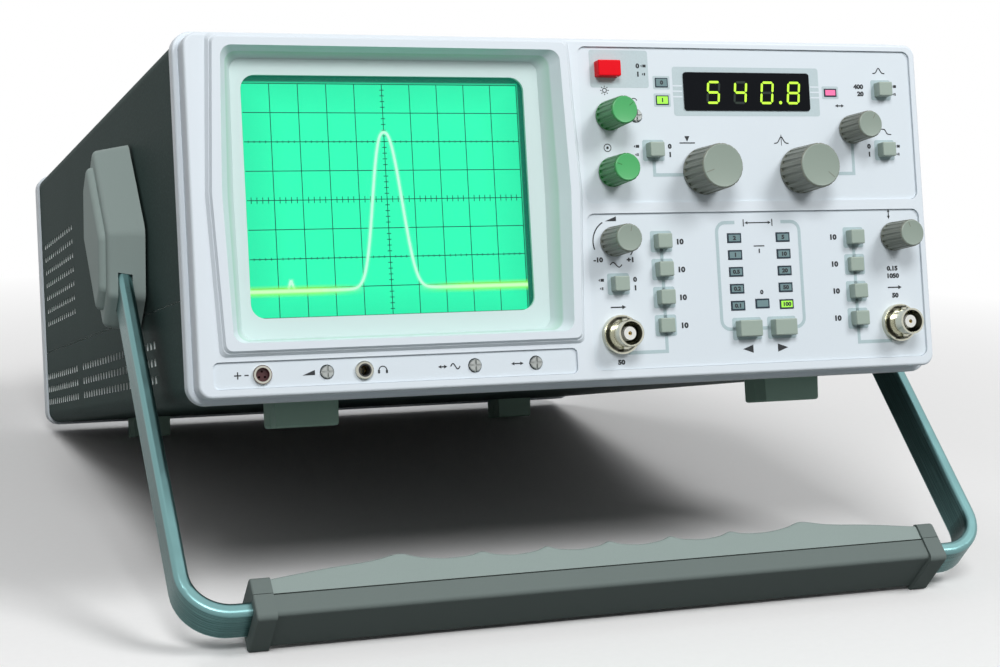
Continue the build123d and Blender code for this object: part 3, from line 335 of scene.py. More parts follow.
# Under the outer skin the paint gives way to a pale metal: painted light on the slot walls that face the
# front.
painted_light_inside = CASE_R - round_corner - across.at_least(up).at_most(0.0) > SPRAYED
cells = paint.make("TexVoronoi", {"feature": "SMOOTH_F1"},
                   {"Vector": paint.place(), "Scale": 1 / (0.75 * MM), "Smoothness": 0.9})
fine, broad = paint.noise(0.55, 2.0), paint.noise(60.0, 3.0)
height = cells * 0.6 + fine * 0.4
tone = paint.mix(paint.ramp(broad, (0.3, 0.0), (0.7, 1.0)), shaded(PAINT, 0.92), shaded(PAINT, 1.09))
tone = paint.mix(paint.ramp(height, (0.42, 0.0), (0.62, 0.55)), tone, shaded(PAINT, 1.45))
paint.feed(Base_Color=paint.mix(painted_light_inside, tone, PAINTED_SLOT_LIGHT), Roughness=0.58 + (fine - 0.5) * 0.2 - painted_light_inside * 0.2,
           Metallic=painted_light_inside * 0.2, Normal=paint.bump(height * (1 - painted_light_inside), 0.06, 0.8))
print("case paint sprayed", SPRAYED, "mm deep")

# %% [markdown]
# ## Brushed, plated and bare metal
# The handle is a steel strip, brushed along its length before zinc plating, so its broad faces
# show long streaks. Streaks are noise squeezed across the strip and stretched along it. The width
# of the strip lies the same way all round, so one noise serves all of it.

# %% Handle strip finish
ARM_ANGLE = math.radians(37.4)
ACROSS_STRIP = UP * math.sin(ARM_ANGLE) - INTO * math.cos(ARM_ANGLE)
STRIP_HALF = 7.5
steel = Finish("handle_steel", Metallic=1.0)
across = steel.along(ACROSS_STRIP, Vector(joints["handle_swing"]["pos_m"]))
wander = steel.noise(30.0, 2.0)
streak_place = steel.make("CombineXYZ", {}, {0: across * 2.6 + wander * 1.6, 1: wander * 2.0})
streaks = steel.make("TexNoise", {}, {"Vector": streak_place, "Scale": 1.0, "Detail": 4.0, "Roughness": 0.62})
face = steel.ramp(abs(across) / STRIP_HALF, (0.74, 1.0), (0.86, 0.0))
sharp = steel.ramp(streaks, (0.36, 0.0), (0.64, 1.0))
# The rim colour, paler than the streaks, lies along the strip's narrow edges: a painted highlight.
dark, light, rim = (0.012, 0.045, 0.045), (0.11, 0.23, 0.225), (0.17, 0.32, 0.325)
steel.feed(Base_Color=steel.mix(face, rim, steel.mix(sharp, dark, light)),
           Roughness=0.24 + sharp * 0.12 + steel.noise(0.5, 3.0) * 0.1,
           Normal=steel.bump(sharp * face, 0.05, 0.6))
print("handle strip brushed along its length")

# %% Plain metals
def metal(name, colour, rough, depth=0.01, metallic=1.0, stain=0.12):
    plate = Finish(name, Metallic=metallic)
    fine = plate.noise(0.6, 4.0)
    plate.feed(Base_Color=plate.drift(plate.noise(18.0, 3.0), colour, stain),
               Roughness=rough + (fine - 0.5) * 0.18, Normal=plate.bump(fine, depth))


METALS = {  # colour, roughness, then any depth in mm, metalness and stain
    "nickel": ((0.50, 0.50, 0.44), 0.17, 0.003),
    "zinc": ((0.60, 0.60, 0.55), 0.34),
    "screw_steel": ((0.33, 0.35, 0.34), 0.38),
    "sheet_aluminium": ((0.62, 0.63, 0.64), 0.36),
    "gilt": ((0.85, 0.62, 0.22), 0.2, 0.002),
    "copper_tape": ((0.55, 0.36, 0.10), 0.42, 0.01, 0.3),
    "board_green": ((0.02, 0.16, 0.06), 0.35, 0.01, 0.0, 0.2),
}
for name, settings in METALS.items():
    metal(name, *settings)
print("plain metals and boards:", *METALS)

# %% [markdown]
# ## The glowing tube face
# The phosphor glows green-blue, a little darker towards the rim, and a tinted filter deepens it. A
# lamp behind the glass would light the well unevenly, so the glow is emission on the tube's own
# material, fading towards the edges, with faint mottling and glass gloss over it.

# %% Tube face and contrast filter
SCREEN_X, SCREEN_Z = middle((tube_low, tube_high))
SCREEN_HALF_W, SCREEN_HALF_H = 51.1, 41.3
DIVISION = 10.0
tube = Finish("tube_glow", Roughness=0.3, Specular_IOR_Level=0.2, Emission_Strength=1.06)
screen_mid = at(SCREEN_X, 0, SCREEN_Z)
across = abs(tube.along(RIGHT, screen_mid)) / SCREEN_HALF_W
up = tube.along(UP, screen_mid) / SCREEN_HALF_H
outermost = across.at_least(abs(up))
rim = tube.ramp(outermost, (0.70, 0.0), (0.99, 1.0))
glow = tube.mix(rim, (0.020, 0.98, 0.47), (0.014, 0.84, 0.40))
# Painted shadow of the bezel: a dark band along the top of the screen.
glow = tube.mix(tube.ramp(up, (0.965, 0.0), (0.995, 1.0)), glow, (0.004, 0.22, 0.12))
# Painted shade: a thin dark line round the edge of the opening.
glow = tube.mix(tube.ramp(outermost, (0.978, 0.0), (0.992, 1.0)), glow, (0.006, 0.12, 0.075))
glow = tube.mix((tube.noise(0.8, 2.0) - 0.5) * 0.35, glow, (0.01, 0.74, 0.35))
tube.feed(Emission_Color=glow, Base_Color=tube.mix(rim, (0.01, 0.05, 0.03), (0.01, 0.03, 0.02)))
sheet = Finish("filter_sheet", Specular_IOR_Level=0.2)
smear = sheet.noise(14.0, 3.0)
TINT = (0.02, 0.34, 0.22)
sheet.feed(Base_Color=sheet.mix(smear, TINT, shaded(TINT, 0.8)), Roughness=0.06 + smear * 0.08,
           Alpha=0.06 + (smear - 0.5) * 0.02)
print("tube face", 2 * SCREEN_HALF_W, "by", 2 * SCREEN_HALF_H, "mm glows behind its filter")

# %% [markdown]
# ## Inks and lights
# Legends are printed in near-black, the squares round the buttons in pale blue-grey. Ink is matt
# and slightly uneven. The lit digits, lamps and the trace are emitters.

# %% Inks and emitters
def ink(name, colour):
    film = Finish(name, Specular_IOR_Level=0.25)
    uneven = film.noise(0.6, 3.0)
    film.feed(Base_Color=film.drift(uneven, colour, 0.08), Roughness=0.5 + uneven * 0.15)


def emitter(name, colour, strength, alpha=1.0):
    unlit = (*shaded(colour, 0.3), 1)
    light = Finish(name, Roughness=0.4, Base_Color=unlit, Emission_Strength=strength, Alpha=alpha)
    uneven = light.noise(2.5, 2.0)
    light.feed(Emission_Color=light.mix(uneven, shaded(colour, 0.88), shaded(colour, 1.1)))


INKS = {"legend_ink": (0.028, 0.032, 0.036), "surround_ink": (0.43, 0.545, 0.575),
        "plate_ink": (0.50, 0.60, 0.63), "navy_rim": (0.016, 0.03, 0.045),
        "graticule_ink": (0.0, 0.045, 0.022), "digit_dark": (0.008, 0.018, 0.012),
        "lamp_unlit": (0.16, 0.25, 0.265)}
EMITTERS = {"trace_core": ((0.50, 1.0, 0.68), 0.92), "trace_soft": ((0.34, 1.0, 0.62), 0.9, 0.55),
            "trace_wide": ((0.20, 1.0, 0.55), 0.9, 0.22), "digit_lit": ((0.52, 0.95, 0.03), 1.0),
            "lamp_lit": ((0.36, 0.88, 0.06), 0.85), "lamp_pink": ((0.95, 0.16, 0.38), 0.85)}
for name, colour in INKS.items():
    ink(name, colour)
for name, settings in EMITTERS.items():
    emitter(name, *settings)
print(len(INKS), "inks and", len(EMITTERS), "emitters ready")

# %% [markdown]
# ## Dressing the CAD parts
# Every CAD node gets its finish from a table of finishes and the nodes they dress, and a check at
# the end lists what is left. The connectors come later, once their places are known.

# %% Finish for every node
def dress(finish, *names):
    for name in names:
        slots = nodes[name].data.materials
        slots.clear()
        slots.append(finishes[finish])
        dressed.add(name)


DRESS = {
    "face_moulding": "front_frame rear_frame", "screen_well": "screen_bezel",
    "foil_ink": "panel_foils", "filter_sheet": "contrast_filter", "tube_glow": "picture_tube",
    "display_black": "display_window", "navy_rim": "indicator_lamps", "nickel": "phone_jack",
    "maroon_moulding": "probe_power_socket",
    "black_moulding": "mains_inlet tube_socket switch_bodies potentiometer_bodies display_module",
    "board_green": "control_boards main_board power_supply_board",
    "case_paint": "upper_cover lower_cover", "sheet_aluminium": "rear_panel",
    "zinc": "chassis screened_modules tube_shield hub_pivots rear_screws",
    "copper_tape": "mains_transformer", "handle_steel": "handle_strip",
    "grip_moulding": "grip_inner", "outer_moulding": "grip_outer grip_end_caps",
    "hub_moulding": "hub_shells", "foot_moulding": "feet",
}
knob_tints = {name: "green" if name in ("intensity", "focus") else "knob" for name in knob_places}
dressed = set()
for finish, names in DRESS.items():
    dress(finish, *names.split())
dress("button_moulding", *button_nodes)
dress("red_moulding", "power_button")
dress("screw_steel", *[name for name in nodes if name.endswith("_trimmer")])
for name, tint in knob_tints.items():
    dress(tint + "_moulding", name + "_knob")
print("still to dress:", sorted(set(nodes) - dressed))

# %% [markdown]
# ## Printing on a flat panel
# Screen-printed ink is a film a few hundredths of a millimetre thick. A picture texture could hold
# the artwork, but flat shapes stay sharp at any distance. One class gathers polygons, lines, arcs
# and numbers in panel millimetres and turns them into one thin mesh.

# %% Outline helpers
def arc_points(x, z, radius, start=0.0, end=360.0, steps=24):
    """Points along an arc, both of its ends among them."""
    turns = [math.radians(start + (end - start) * i / steps) for i in range(steps + 1)]
    return [(x + radius * math.cos(turn), z + radius * math.sin(turn)) for turn in turns]


def rounded(x, z, width, height, radius, steps=5):
    """Corner points of a rounded rectangle."""
    points = []
    for quarter, (sx, sz) in enumerate(((1, -1), (1, 1), (-1, 1), (-1, -1))):
        cx, cz = x + sx * (width / 2 - radius), z + sz * (height / 2 - radius)
        points += arc_points(cx, cz, radius, 90 * quarter - 90, 90 * quarter, steps)
    return points


def direction(start, end):
    """The unit direction from one point to another."""
    length = math.hypot(end[0] - start[0], end[1] - start[1]) or 1.0
    return (end[0] - start[0]) / length, (end[1] - start[1]) / length


def mitre(before, here, after):
    """The sideways direction at a path point, long enough to keep the stroke's width."""
    pairs = [pair for pair in ((before, here), (here, after)) if None not in pair]
    dx, dz = [sum(parts) / len(pairs) for parts in zip(*[direction(*pair) for pair in pairs])]
    square = max(dx * dx + dz * dz, 0.2)
    return -dz / square, dx / square


def place_object(name, data):
    """Put a mesh, a lamp or a camera in the scene."""
    thing = bpy.data.objects.new(name, data)
    bpy.context.scene.collection.objects.link(thing)
    return thing


def as_object(name, shapes, finish, smooth_angle=None):
    """Turn gathered geometry into an object with its finish."""
    mesh = bpy.data.meshes.new(name)
    shapes.to_mesh(mesh)
    shapes.free()
    mesh.materials.append(finishes[finish])
    if smooth_angle is not None:
        mesh.shade_smooth()
        mesh.set_sharp_from_angle(angle=math.radians(smooth_angle))
    return place_object(name, mesh)


print("outline helpers ready")

# %% The printing class
WIDE = 1.2


class Print:
    """Flat shapes at one depth in front of the panel, gathered into one piece."""

    def __init__(self, name, finish, depth, body="instrument"):
        self.name, self.finish, self.depth, self.body = name, finish, depth, body
        self.shapes = bmesh.new()

    def polygon(self, points):
        self.shapes.faces.new([self.shapes.verts.new(at(x, self.depth, z)) for x, z in points])

    def rectangle(self, x, z, width, height, radius):
        self.polygon(rounded(x, z, width, height, radius))

    def line(self, points, width, closed=False):
        """A stroke of even width along a path, with mitred corners."""
        befores = [points[-1] if closed else None, *points[:-1]]
        afters = [*points[1:], points[0] if closed else None]
        pairs = []
        for before, (x, z), after in zip(befores, points, afters):
            dx, dz = [side * width / 2 for side in mitre(before, (x, z), after)]
            pairs.append(((x + dx, z + dz), (x - dx, z - dz)))
        if closed:
            pairs.append(pairs[0])
        for (left, right), (next_left, next_right) in zip(pairs, pairs[1:]):
            self.polygon([left, next_left, next_right, right])

    def arc(self, x, z, radius, width, start=0.0, end=360.0, steps=40):
        path = arc_points(x, z, radius, start, end, steps)
        whole = end - start == 360.0
        self.line(path[:-1] if whole else path, width, closed=whole)

    def disc(self, x, z, radius, steps):
        self.polygon(arc_points(x, z, radius, steps=steps)[:-1])

    def arrow(self, tail, head, width, barb):
        """A straight arrow with a solid tip, half as wide as it is long."""
        dx, dz = [share * barb for share in direction(tail, head)]
        x, z = head[0] - dx, head[1] - dz
        self.line([tail, (x, z)], width)
        self.polygon([head, (x - dz / 2, z + dx / 2), (x + dz / 2, z - dx / 2)])

    def number(self, text, x, z, height):
        """A plain number, centred on its height."""
        curve = bpy.data.curves.new("number", "FONT")
        curve.body, curve.align_x, curve.offset = text, "CENTER", 0.06
        curve.resolution_u = 3
        letters = bpy.data.objects.new("number", curve)
        mesh = bpy.data.meshes.new_from_object(letters)
        heights = [vertex.co.y for vertex in mesh.vertices]
        low, scale = min(heights), height / (max(heights) - min(heights))
        corners = []
        for vertex in mesh.vertices:
            across, up = vertex.co.x * scale * WIDE, (vertex.co.y - low) * scale - height / 2
            corners.append(self.shapes.verts.new(at(x + across, self.depth, z + up)))
        for face in mesh.polygons:
            self.shapes.faces.new([corners[i] for i in face.vertices])
        bpy.data.objects.remove(letters)
        bpy.data.meshes.remove(mesh)

    def done(self):
        """Make the piece, with every face turned to the front."""
        self.shapes.normal_update()
        turned = [face for face in self.shapes.faces if face.normal.dot(INTO) > 0]
        bmesh.ops.reverse_faces(self.shapes, faces=turned)
        print(self.name, "has", len(self.shapes.faces), "faces")
        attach(as_object(self.name, self.shapes, self.finish), self.body)

# %% [markdown]
# ## Finding the separate lamps
# All the lamp bars are one CAD node, so their places are read back from its mesh: flooding from
# corner to corner along the edges finds each bar's box.

# %% Boxes of a node's separate solids
def solid_boxes(node):
    """Low and high corners, in level millimetres, of each separate solid in a node."""
    shapes = bmesh.new()
    shapes.from_mesh(nodes[node].data)
    bmesh.ops.remove_doubles(shapes, verts=shapes.verts, dist=0.001 * MM)
    unseen, boxes = set(shapes.verts), []
    while unseen:
        solid = front = {unseen.pop()}
        while front:
            front = {edge.other_vert(corner) for corner in front for edge in corner.link_edges} - solid
            solid = solid | front
        unseen -= solid
        boxes.append(corners_of([level(corner.co) for corner in solid]))
    shapes.free()
    return sorted(boxes, key=lambda box: (round(box[0].x, 1), box[0].z))


lamps = solid_boxes("indicator_lamps")
connectors = sorted({tuple(round(c, 1) for c in middle(box)) for box in solid_boxes("signal_connectors")})
strip_nodes = ("probe_power_socket", "phone_jack", *[name for name in nodes if name.endswith("_trimmer")])
places = {name: middle(level_box(name)) for name in (*button_nodes, *strip_nodes)}
places |= {name + "_knob": (place.x, place.z) for name, place in knob_places.items()}
places |= dict(zip(("output_connector", "input_connector"), connectors))


def beside(name, across=0.0, up=0.0):
    """A point at an offset, in millimetres, from the middle of a control."""
    return places[name][0] + across, places[name][1] + up


print(len(lamps), "lamps; connectors at", connectors)

# %% [markdown]
# ## The graticule and the trace
# The graticule is etched in the tube: 10 by 8 divisions, with fifths along the two middle lines
# and the lines at plus and minus two. The trace is a noise floor, a small blip and a tall peak
# shaped like a bell, drawn in layers that spread and fade like a beam.

# %% Graticule
GRID_Y = tube_low.y - PROUD
GRID_LINE, TICK_LINE = 0.28, 0.26
LONG_TICK, SHORT_TICK, UP_TICK = 0.11, 0.045, 0.08


def screen_point(across, up):
    """A point in divisions from the middle of the screen."""
    return SCREEN_X + across * DIVISION, SCREEN_Z + up * DIVISION


grid = Print("graticule", "graticule_ink", GRID_Y)


def grid_line(start, end, width=TICK_LINE):
    """A stroke between two points given in divisions."""
    grid.line([screen_point(*start), screen_point(*end)], width)


for column in range(-4, 6):
    grid_line((column, -4.0), (column, 4.0), GRID_LINE)
for row in range(-4, 5):
    grid_line((-4.95, row), (5.0, row), GRID_LINE)
for fifth in range(-24, 25):
    place = fifth / 5
    for row, half in ((0, LONG_TICK), (-2, SHORT_TICK), (2, SHORT_TICK)):
        grid_line((place, row - half), (place, row + half))
    if abs(place) < 4:
        grid_line((-UP_TICK, place), (UP_TICK, place))
grid.done()

# %% Trace
FLOOR_LEVEL, PEAK, BELL, FLATTEN = -3.1, 5.42, 0.66, 2.5
SKIRT, SKIRT_WIDE, BLIP, BLIP_WIDE, BLIP_AT = 0.14, 0.95, 0.36, 0.12, -3.56
SWEEP, SWEEP_STEPS = 5.05, 505
GLOW_REACH = 2.2


def trace_height(x):
    """Trace height in divisions at a place in divisions."""
    bell = (PEAK - SKIRT) * math.exp(-abs(x / BELL) ** FLATTEN)
    skirt = SKIRT * math.exp(-(x / SKIRT_WIDE) ** 2)
    blip = BLIP * max(0.0, 1 - abs(x - BLIP_AT) / BLIP_WIDE)
    return FLOOR_LEVEL + bell + skirt + blip

# %% Glow along the noise floor, fading above and below it and under the peak
haze = Finish("trace_floor_glow", Roughness=0.5, Emission_Strength=1.0)
x, z = screen_point(0, FLOOR_LEVEL)
off = abs(haze.along(UP, at(x, 0, z))) / GLOW_REACH
sideways = abs(haze.along(RIGHT, at(x, 0, z))) / DIVISION
core = haze.ramp(off, (0.12, 1.0), (0.42, 0.0))
ends = (sideways / 1.7 - 0.55).clamped()
haze.feed(Emission_Color=haze.mix(core, (0.30, 0.98, 0.03), (0.62, 1.0, 0.50)),
          Base_Color=haze.mix(core, (0.01, 0.05, 0.02), (0.02, 0.05, 0.02)),
          Alpha=haze.ramp(off, (0.15, 0.92), (0.5, 0.55), (1.0, 0.0)) * ends)
print("glow reaches", GLOW_REACH, "mm from the noise floor")

# %% The beam in layers, the brightest on top
sweep = [SWEEP * (2 * i / SWEEP_STEPS - 1) for i in range(SWEEP_STEPS + 1)]
trace = [screen_point(x, trace_height(x)) for x in sweep]
base = [screen_point(-SWEEP, FLOOR_LEVEL), screen_point(SWEEP, FLOOR_LEVEL)]
for name, finish, path, width, lift in (("trace_line", "trace_core", trace, 0.75, 0.06),
                                        ("trace_soft", "trace_soft", trace, 1.35, 0.04),
                                        ("trace_wide", "trace_wide", trace, 2.2, 0.02),
                                        ("trace_floor_glow", "trace_floor_glow", base, 2 * GLOW_REACH, 0.08)):
    beam = Print(name, finish, GRID_Y - lift)
    beam.line(path, width)
    beam.done()

# %% [markdown]
# ## Panel print: pale surrounds and link lines
# Pale squares sit round the push buttons, and lines of the same ink link what belongs together: a
# button to its knob, a column of buttons to its connector, a rounded outline round the span lamps.
# They are measured from the controls, so they stay centred on them.

# %% Surrounds
BAND = 1.25
SQUARE, SPAN_SQUARE, SQUARE_ROUND = (8.5, 7.7), (11.8, 8.2), 0.8
surrounds = Print("panel_surrounds", "surround_ink", INK_FACE)
for name in button_nodes:
    if name != "power_button":
        size = SPAN_SQUARE if name.startswith("span_") else SQUARE
        surrounds.rectangle(*places[name], *size, SQUARE_ROUND)


def link(start, end):
    """A line that leaves one point upright and reaches another level."""
    surrounds.line([start, (start[0], end[1]), end], BAND)


link(beside("output_attenuator_button_1"), beside("output_connector", 3.0, -6.6))
link(beside("input_attenuator_button_1"), beside("input_connector", -3.0, -6.6))
link(beside("marker_button"), beside("marker_knob", -7.0, -1.2))
link(beside("fine_tuning_knob", 0.0, -4.0), beside("center_frequency_knob", 7.0, -1.2))
RANGE_FROM, RANGE_TO = 20, 40
warning_lamp = max(lamps, key=lambda box: box[0].x)
range_lamps = [box for box in lamps if RANGE_FROM < box[0].x < RANGE_TO]
span_lamps = [box for box in lamps if box not in range_lamps and box is not warning_lamp]
SPAN_MID = (min(box[0].x for box in span_lamps) + max(box[1].x for box in span_lamps)) / 2
SPAN_WIDE, SPAN_LOW, SPAN_HIGH, SPAN_ROUND, SPAN_OPEN = 34.0, 16.4, 55.4, 3.4, 9.5
corners = rounded(SPAN_MID, (SPAN_LOW + SPAN_HIGH) / 2, SPAN_WIDE, SPAN_HIGH - SPAN_LOW, SPAN_ROUND)
half_way = len(corners) // 2
ends = [(SPAN_MID - SPAN_OPEN, SPAN_HIGH), (SPAN_MID + SPAN_OPEN, SPAN_HIGH)]
surrounds.line([ends[0], *corners[half_way:], *corners[:half_way], ends[1]], BAND)
surrounds.done()

# %% Plates behind the display, the lamps and the power switch
PLATE_ROUND, POWER_PLATE, RANGE_PLATE, WARNING_PLATE = 1.0, (23.0, 13.6), (6.7, 4.9), (7.0, 4.8)
plates = Print("panel_plates", "plate_ink", INK_FACE)
display_mid = middle((window_low, window_high))
display_w, display_h = window_high.x - window_low.x, window_high.z - window_low.z
plates.rectangle(*display_mid, display_w + 8.4, display_h + 4.0, PLATE_ROUND)
plates.rectangle(*beside("power_button", 5.2, 0.3), *POWER_PLATE, PLATE_ROUND)
for box in range_lamps:
    plates.rectangle(*middle(box), *RANGE_PLATE, PLATE_ROUND / 2)
plates.rectangle(*middle(warning_lamp), *WARNING_PLATE, PLATE_ROUND / 2)
plates.done()
stripes = Print("display_stripes", "foil_ink", INK_TOP)
STRIPE_L, STRIPE_PITCH, STRIPE_W = 3.9, 2.0, 0.55
for side in (-1, 1):
    edge = display_mid[0] + side * (display_w / 2 + 0.5)
    for row in (-1, 0, 1):
        z = display_mid[1] + row * STRIPE_PITCH
        stripes.line([(edge, z), (edge + side * STRIPE_L, z)], STRIPE_W)
stripes.done()

# %% [markdown]
# ## Panel print: plain numbers and signs
# Such a panel's words are left off. In their places are plain numbers, in Blender's own font, and
# simple signs: a sun for brightness, a ring for focus, arrows for position, a bell curve for
# bandwidth. Two tables say what stands where.

# %% Numbers
TEXT, SMALL = 2.1, 1.85
STATE_UP = 1.5
NUMBERS = [  # text, control, millimetres across and up from its middle, height
    ("400", "bandwidth_button", -9.6, 1.3, SMALL), ("20", "bandwidth_button", -8.9, -1.4, SMALL),
    ("-10", "level_knob", -6.4, -6.4, SMALL), ("+1", "level_knob", 6.2, -6.6, SMALL),
    ("50", "output_connector", 0.0, -9.8, SMALL), ("50", "input_connector", -0.4, 10.4, SMALL),
    ("0.15", "input_connector", -1.0, 20.6, SMALL), ("1050", "input_connector", -1.0, 17.8, SMALL),
]
for i in range(1, 5):
    NUMBERS.append(("10", f"output_attenuator_button_{i}", 7.4, -0.2, TEXT))
    NUMBERS.append(("10", f"input_attenuator_button_{i}", -8.6, 0.3, TEXT))
for name, across in (("marker_button", 6.6), ("tracking_generator_button", 6.6),
                     ("video_filter_button", -6.6), ("power_button", 12.6)):
    NUMBERS += [("0", name, across, STATE_UP, SMALL), ("1", name, across, -STATE_UP, SMALL)]
NUMBERS += [("1", "span_middle", 0.0, -10.4, 1.6), ("0", "span_middle", 0.0, -25.6, 1.7)]
places["span_middle"] = (SPAN_MID, SPAN_HIGH - 0.2)
legend = Print("panel_legends", "legend_ink", INK_TOP)
for text, name, across, up, height in NUMBERS:
    legend.number(text, *beside(name, across, up), height)
print("numbers set:", len(NUMBERS))

# %% Signs
def sun(x, z):
    legend.arc(x, z, 0.75, 0.3, steps=16)
    for ray in list(zip(arc_points(x, z, 1.15, steps=8), arc_points(x, z, 1.7, steps=8)))[:-1]:
        legend.line(ray, 0.3)


def focus_ring(x, z):
    legend.arc(x, z, 1.35, 0.3, steps=20)
    legend.disc(x, z, 0.5, 12)


def double_arrow(x, z, half, upright=False):
    for side in (-half, half):
        legend.arrow((x, z), (x, z + side) if upright else (x + side, z), 0.4, 1.2)


def wedge(x, z, half_w=2.2, half_h=0.85):
    legend.polygon([(x - half_w, z - half_h), (x + half_w, z - half_h), (x + half_w, z + half_h)])


def bell_curve(x, z, width=5.2, height=2.0, flat=False):
    path = []
    for k in range(-12, 13):
        t = k / 6
        rise = math.exp(-(t / 0.75) ** 2) if not flat else 1 / (1 + math.exp(5 * (t - 0.3)))
        path.append((x + t * width / 4, z - height / 2 + height * rise))
    legend.line(path, 0.38)


def sine(x, z, width=4.6, height=1.7):
    turns = [k / 24 for k in range(25)]
    legend.line([(x + (t - 0.5) * width, z + math.sin(math.tau * t) * height / 2) for t in turns], 0.4)


def triangle(x, z, length, half_h):
    """A solid triangle that points left, or right where its length is negative."""
    legend.polygon([(x, z), (x + length, z - half_h), (x + length, z + half_h)])


def pointer_down(x, z):
    legend.polygon([(x - 1, z + 2), (x + 1, z + 2), (x, z)])


def bar(x, z, length, width=0.4, upright=False):
    """A straight stroke centred on a place."""
    half_x, half_z = (0, length / 2) if upright else (length / 2, 0)
    legend.line([(x - half_x, z - half_z), (x + half_x, z + half_z)], width)


def level_arrow(x, z):
    legend.arrow((x, z), (x + 6.0, z), 0.45, 1.5)


def switch_signs(x, z):
    """Little pictures of a push button: standing out above, pressed in below."""
    for up, half, thick in ((STATE_UP, 0.95, 1.3), (-STATE_UP, 0.55, 0.5)):
        bar(x, z + up, thick, 1.0)
        triangle(x - half - 0.55, z + up, 0.55, 0.5)


def earphones(x, z):
    legend.arc(x, z - 0.3, 1.4, 0.35, 0, 180, 14)
    for side in (-1, 1):
        legend.rectangle(x + side * 1.4, z - 0.7, 0.75, 1.2, 0.2)


print("signs ready to place")

# %% Signs in their places
SIGNS = [  # sign, control, millimetres across and up from its middle, then sizes of its own
    (sun, "intensity_knob", -1.2, 9.2), (focus_ring, "focus_knob", -1.2, 8.8),
    (bar, "marker_knob", -6.1, 10.4, 6.2), (pointer_down, "marker_knob", -6.1, 10.9),
    (bell_curve, "center_frequency_knob", -7.2, 11.4, 6.0, 2.4),
    (bar, "center_frequency_knob", -7.2, 11.4, 4.0, 0.25, True),
    (double_arrow, "fine_tuning_knob", -4.4, 9.0, 1.9), (wedge, "level_knob", -0.8, 8.2),
    (double_arrow, "y_position_knob", -1.2, 8.6, 1.9, True), (bell_curve, "bandwidth_button", -0.5, 7.4),
    (bell_curve, "video_filter_button", 0.8, 7.0, 5.2, 2.0, True),
    (sine, "tracking_generator_button", -0.5, 6.9),
    (level_arrow, "output_connector", -3.0, 9.8), (level_arrow, "input_connector", -3.4, 13.4),
    (legend.arc, "level_knob", 0, 0, 8.0, 0.45, 120, 200, 20),
    (legend.arc, "level_knob", 0, 0, 8.0, 0.45, -38, -8, 8),
    (triangle, "span_down_button", -2.1, -7.4, 4.2, 1.5),
    (triangle, "span_up_button", 2.1, -7.4, -4.2, 1.5),
    (double_arrow, "span_middle", 0, 0, 5.4), (bar, "span_middle", -5.9, 0, 2.6, 0.4, True),
    (bar, "span_middle", 5.9, 0, 2.6, 0.4, True), (bar, "span_middle", 0, -8.6, 4.4),
    (switch_signs, "marker_button", -6.2, 0), (switch_signs, "tracking_generator_button", -6.2, 0),
    (switch_signs, "video_filter_button", 6.2, 0), (switch_signs, "bandwidth_button", 6.2, 0),
    (switch_signs, "power_button", 15.2, 0), (bar, "probe_power_socket", -8.3, 0, 2.4),
    (bar, "probe_power_socket", -8.3, 0, 2.4, 0.4, True), (bar, "probe_power_socket", -5.3, 0, 1.4),
    (wedge, "volume_trimmer", -6.4, 0), (earphones, "phone_jack", 6.6, 0),
    (sine, "x_amplitude_trimmer", -7.2, 0, 3.4, 1.9), (double_arrow, "x_amplitude_trimmer", -11.8, 0, 1.7),
    (double_arrow, "x_position_trimmer", -7.0, 0, 2.3),
    (legend.arc, "trace_rotation_trimmer", -0.5, 5.0, 1.3, 0.3, 20, 160, 12),
]
for sign, name, across, up, *sizes in SIGNS:
    sign(*beside(name, across, up), *sizes)
legend.done()

# %% [markdown]
# ## Lamp windows and the digital display
# Each lamp is a dark-rimmed window with a number in it, and the chosen one glows. The display is a
# smoked window with slanted seven-segment digits. No font has them, so each is built from seven
# bars with pointed ends, and the unlit bars stay faintly visible.

# %% Lamp windows
LAMP_Y = level_box("indicator_lamps")[0].y - PROUD
RIM, THIN_RIM, LAMP_TEXT = 0.5, 0.35, 1.6
unlit = Print("lamp_windows_unlit", "lamp_unlit", LAMP_Y)
lit = Print("lamp_windows_lit", "lamp_lit", LAMP_Y)
pink = Print("warning_lamp_window", "lamp_pink", LAMP_Y)
lamp_text = Print("lamp_numbers", "legend_ink", LAMP_Y - PROUD)
SPAN_NUMBERS = {"left": ("0.1", "0.2", "0.5", "1", "2"), "right": ("100", "50", "20", "10", "5"),
                "middle": (None,)}
COLUMN_APART = 3
columns = {side: [] for side in SPAN_NUMBERS}
for box in sorted(span_lamps, key=lambda box: box[0].z):
    off = middle(box)[0] - SPAN_MID
    columns["middle" if abs(off) < COLUMN_APART else "left" if off < 0 else "right"].append(box)


def lamp_window(target, box, text=None, rim=RIM):
    low, high = box
    target.rectangle(*middle(box), high.x - low.x - 2 * rim, high.z - low.z - 2 * rim, 0.1)
    if text:
        lamp_text.number(text, *middle(box), LAMP_TEXT)


for side, texts in SPAN_NUMBERS.items():
    for box, text in zip(columns[side], texts):
        lamp_window(lit if text == "100" else unlit, box, text)
low_lamp, high_lamp = sorted(range_lamps, key=lambda box: box[0].z)
lamp_window(lit, low_lamp, "1", THIN_RIM)
lamp_window(unlit, high_lamp, "0", THIN_RIM)
lamp_window(pink, warning_lamp)
for layer in (unlit, lit, pink, lamp_text):
    layer.done()

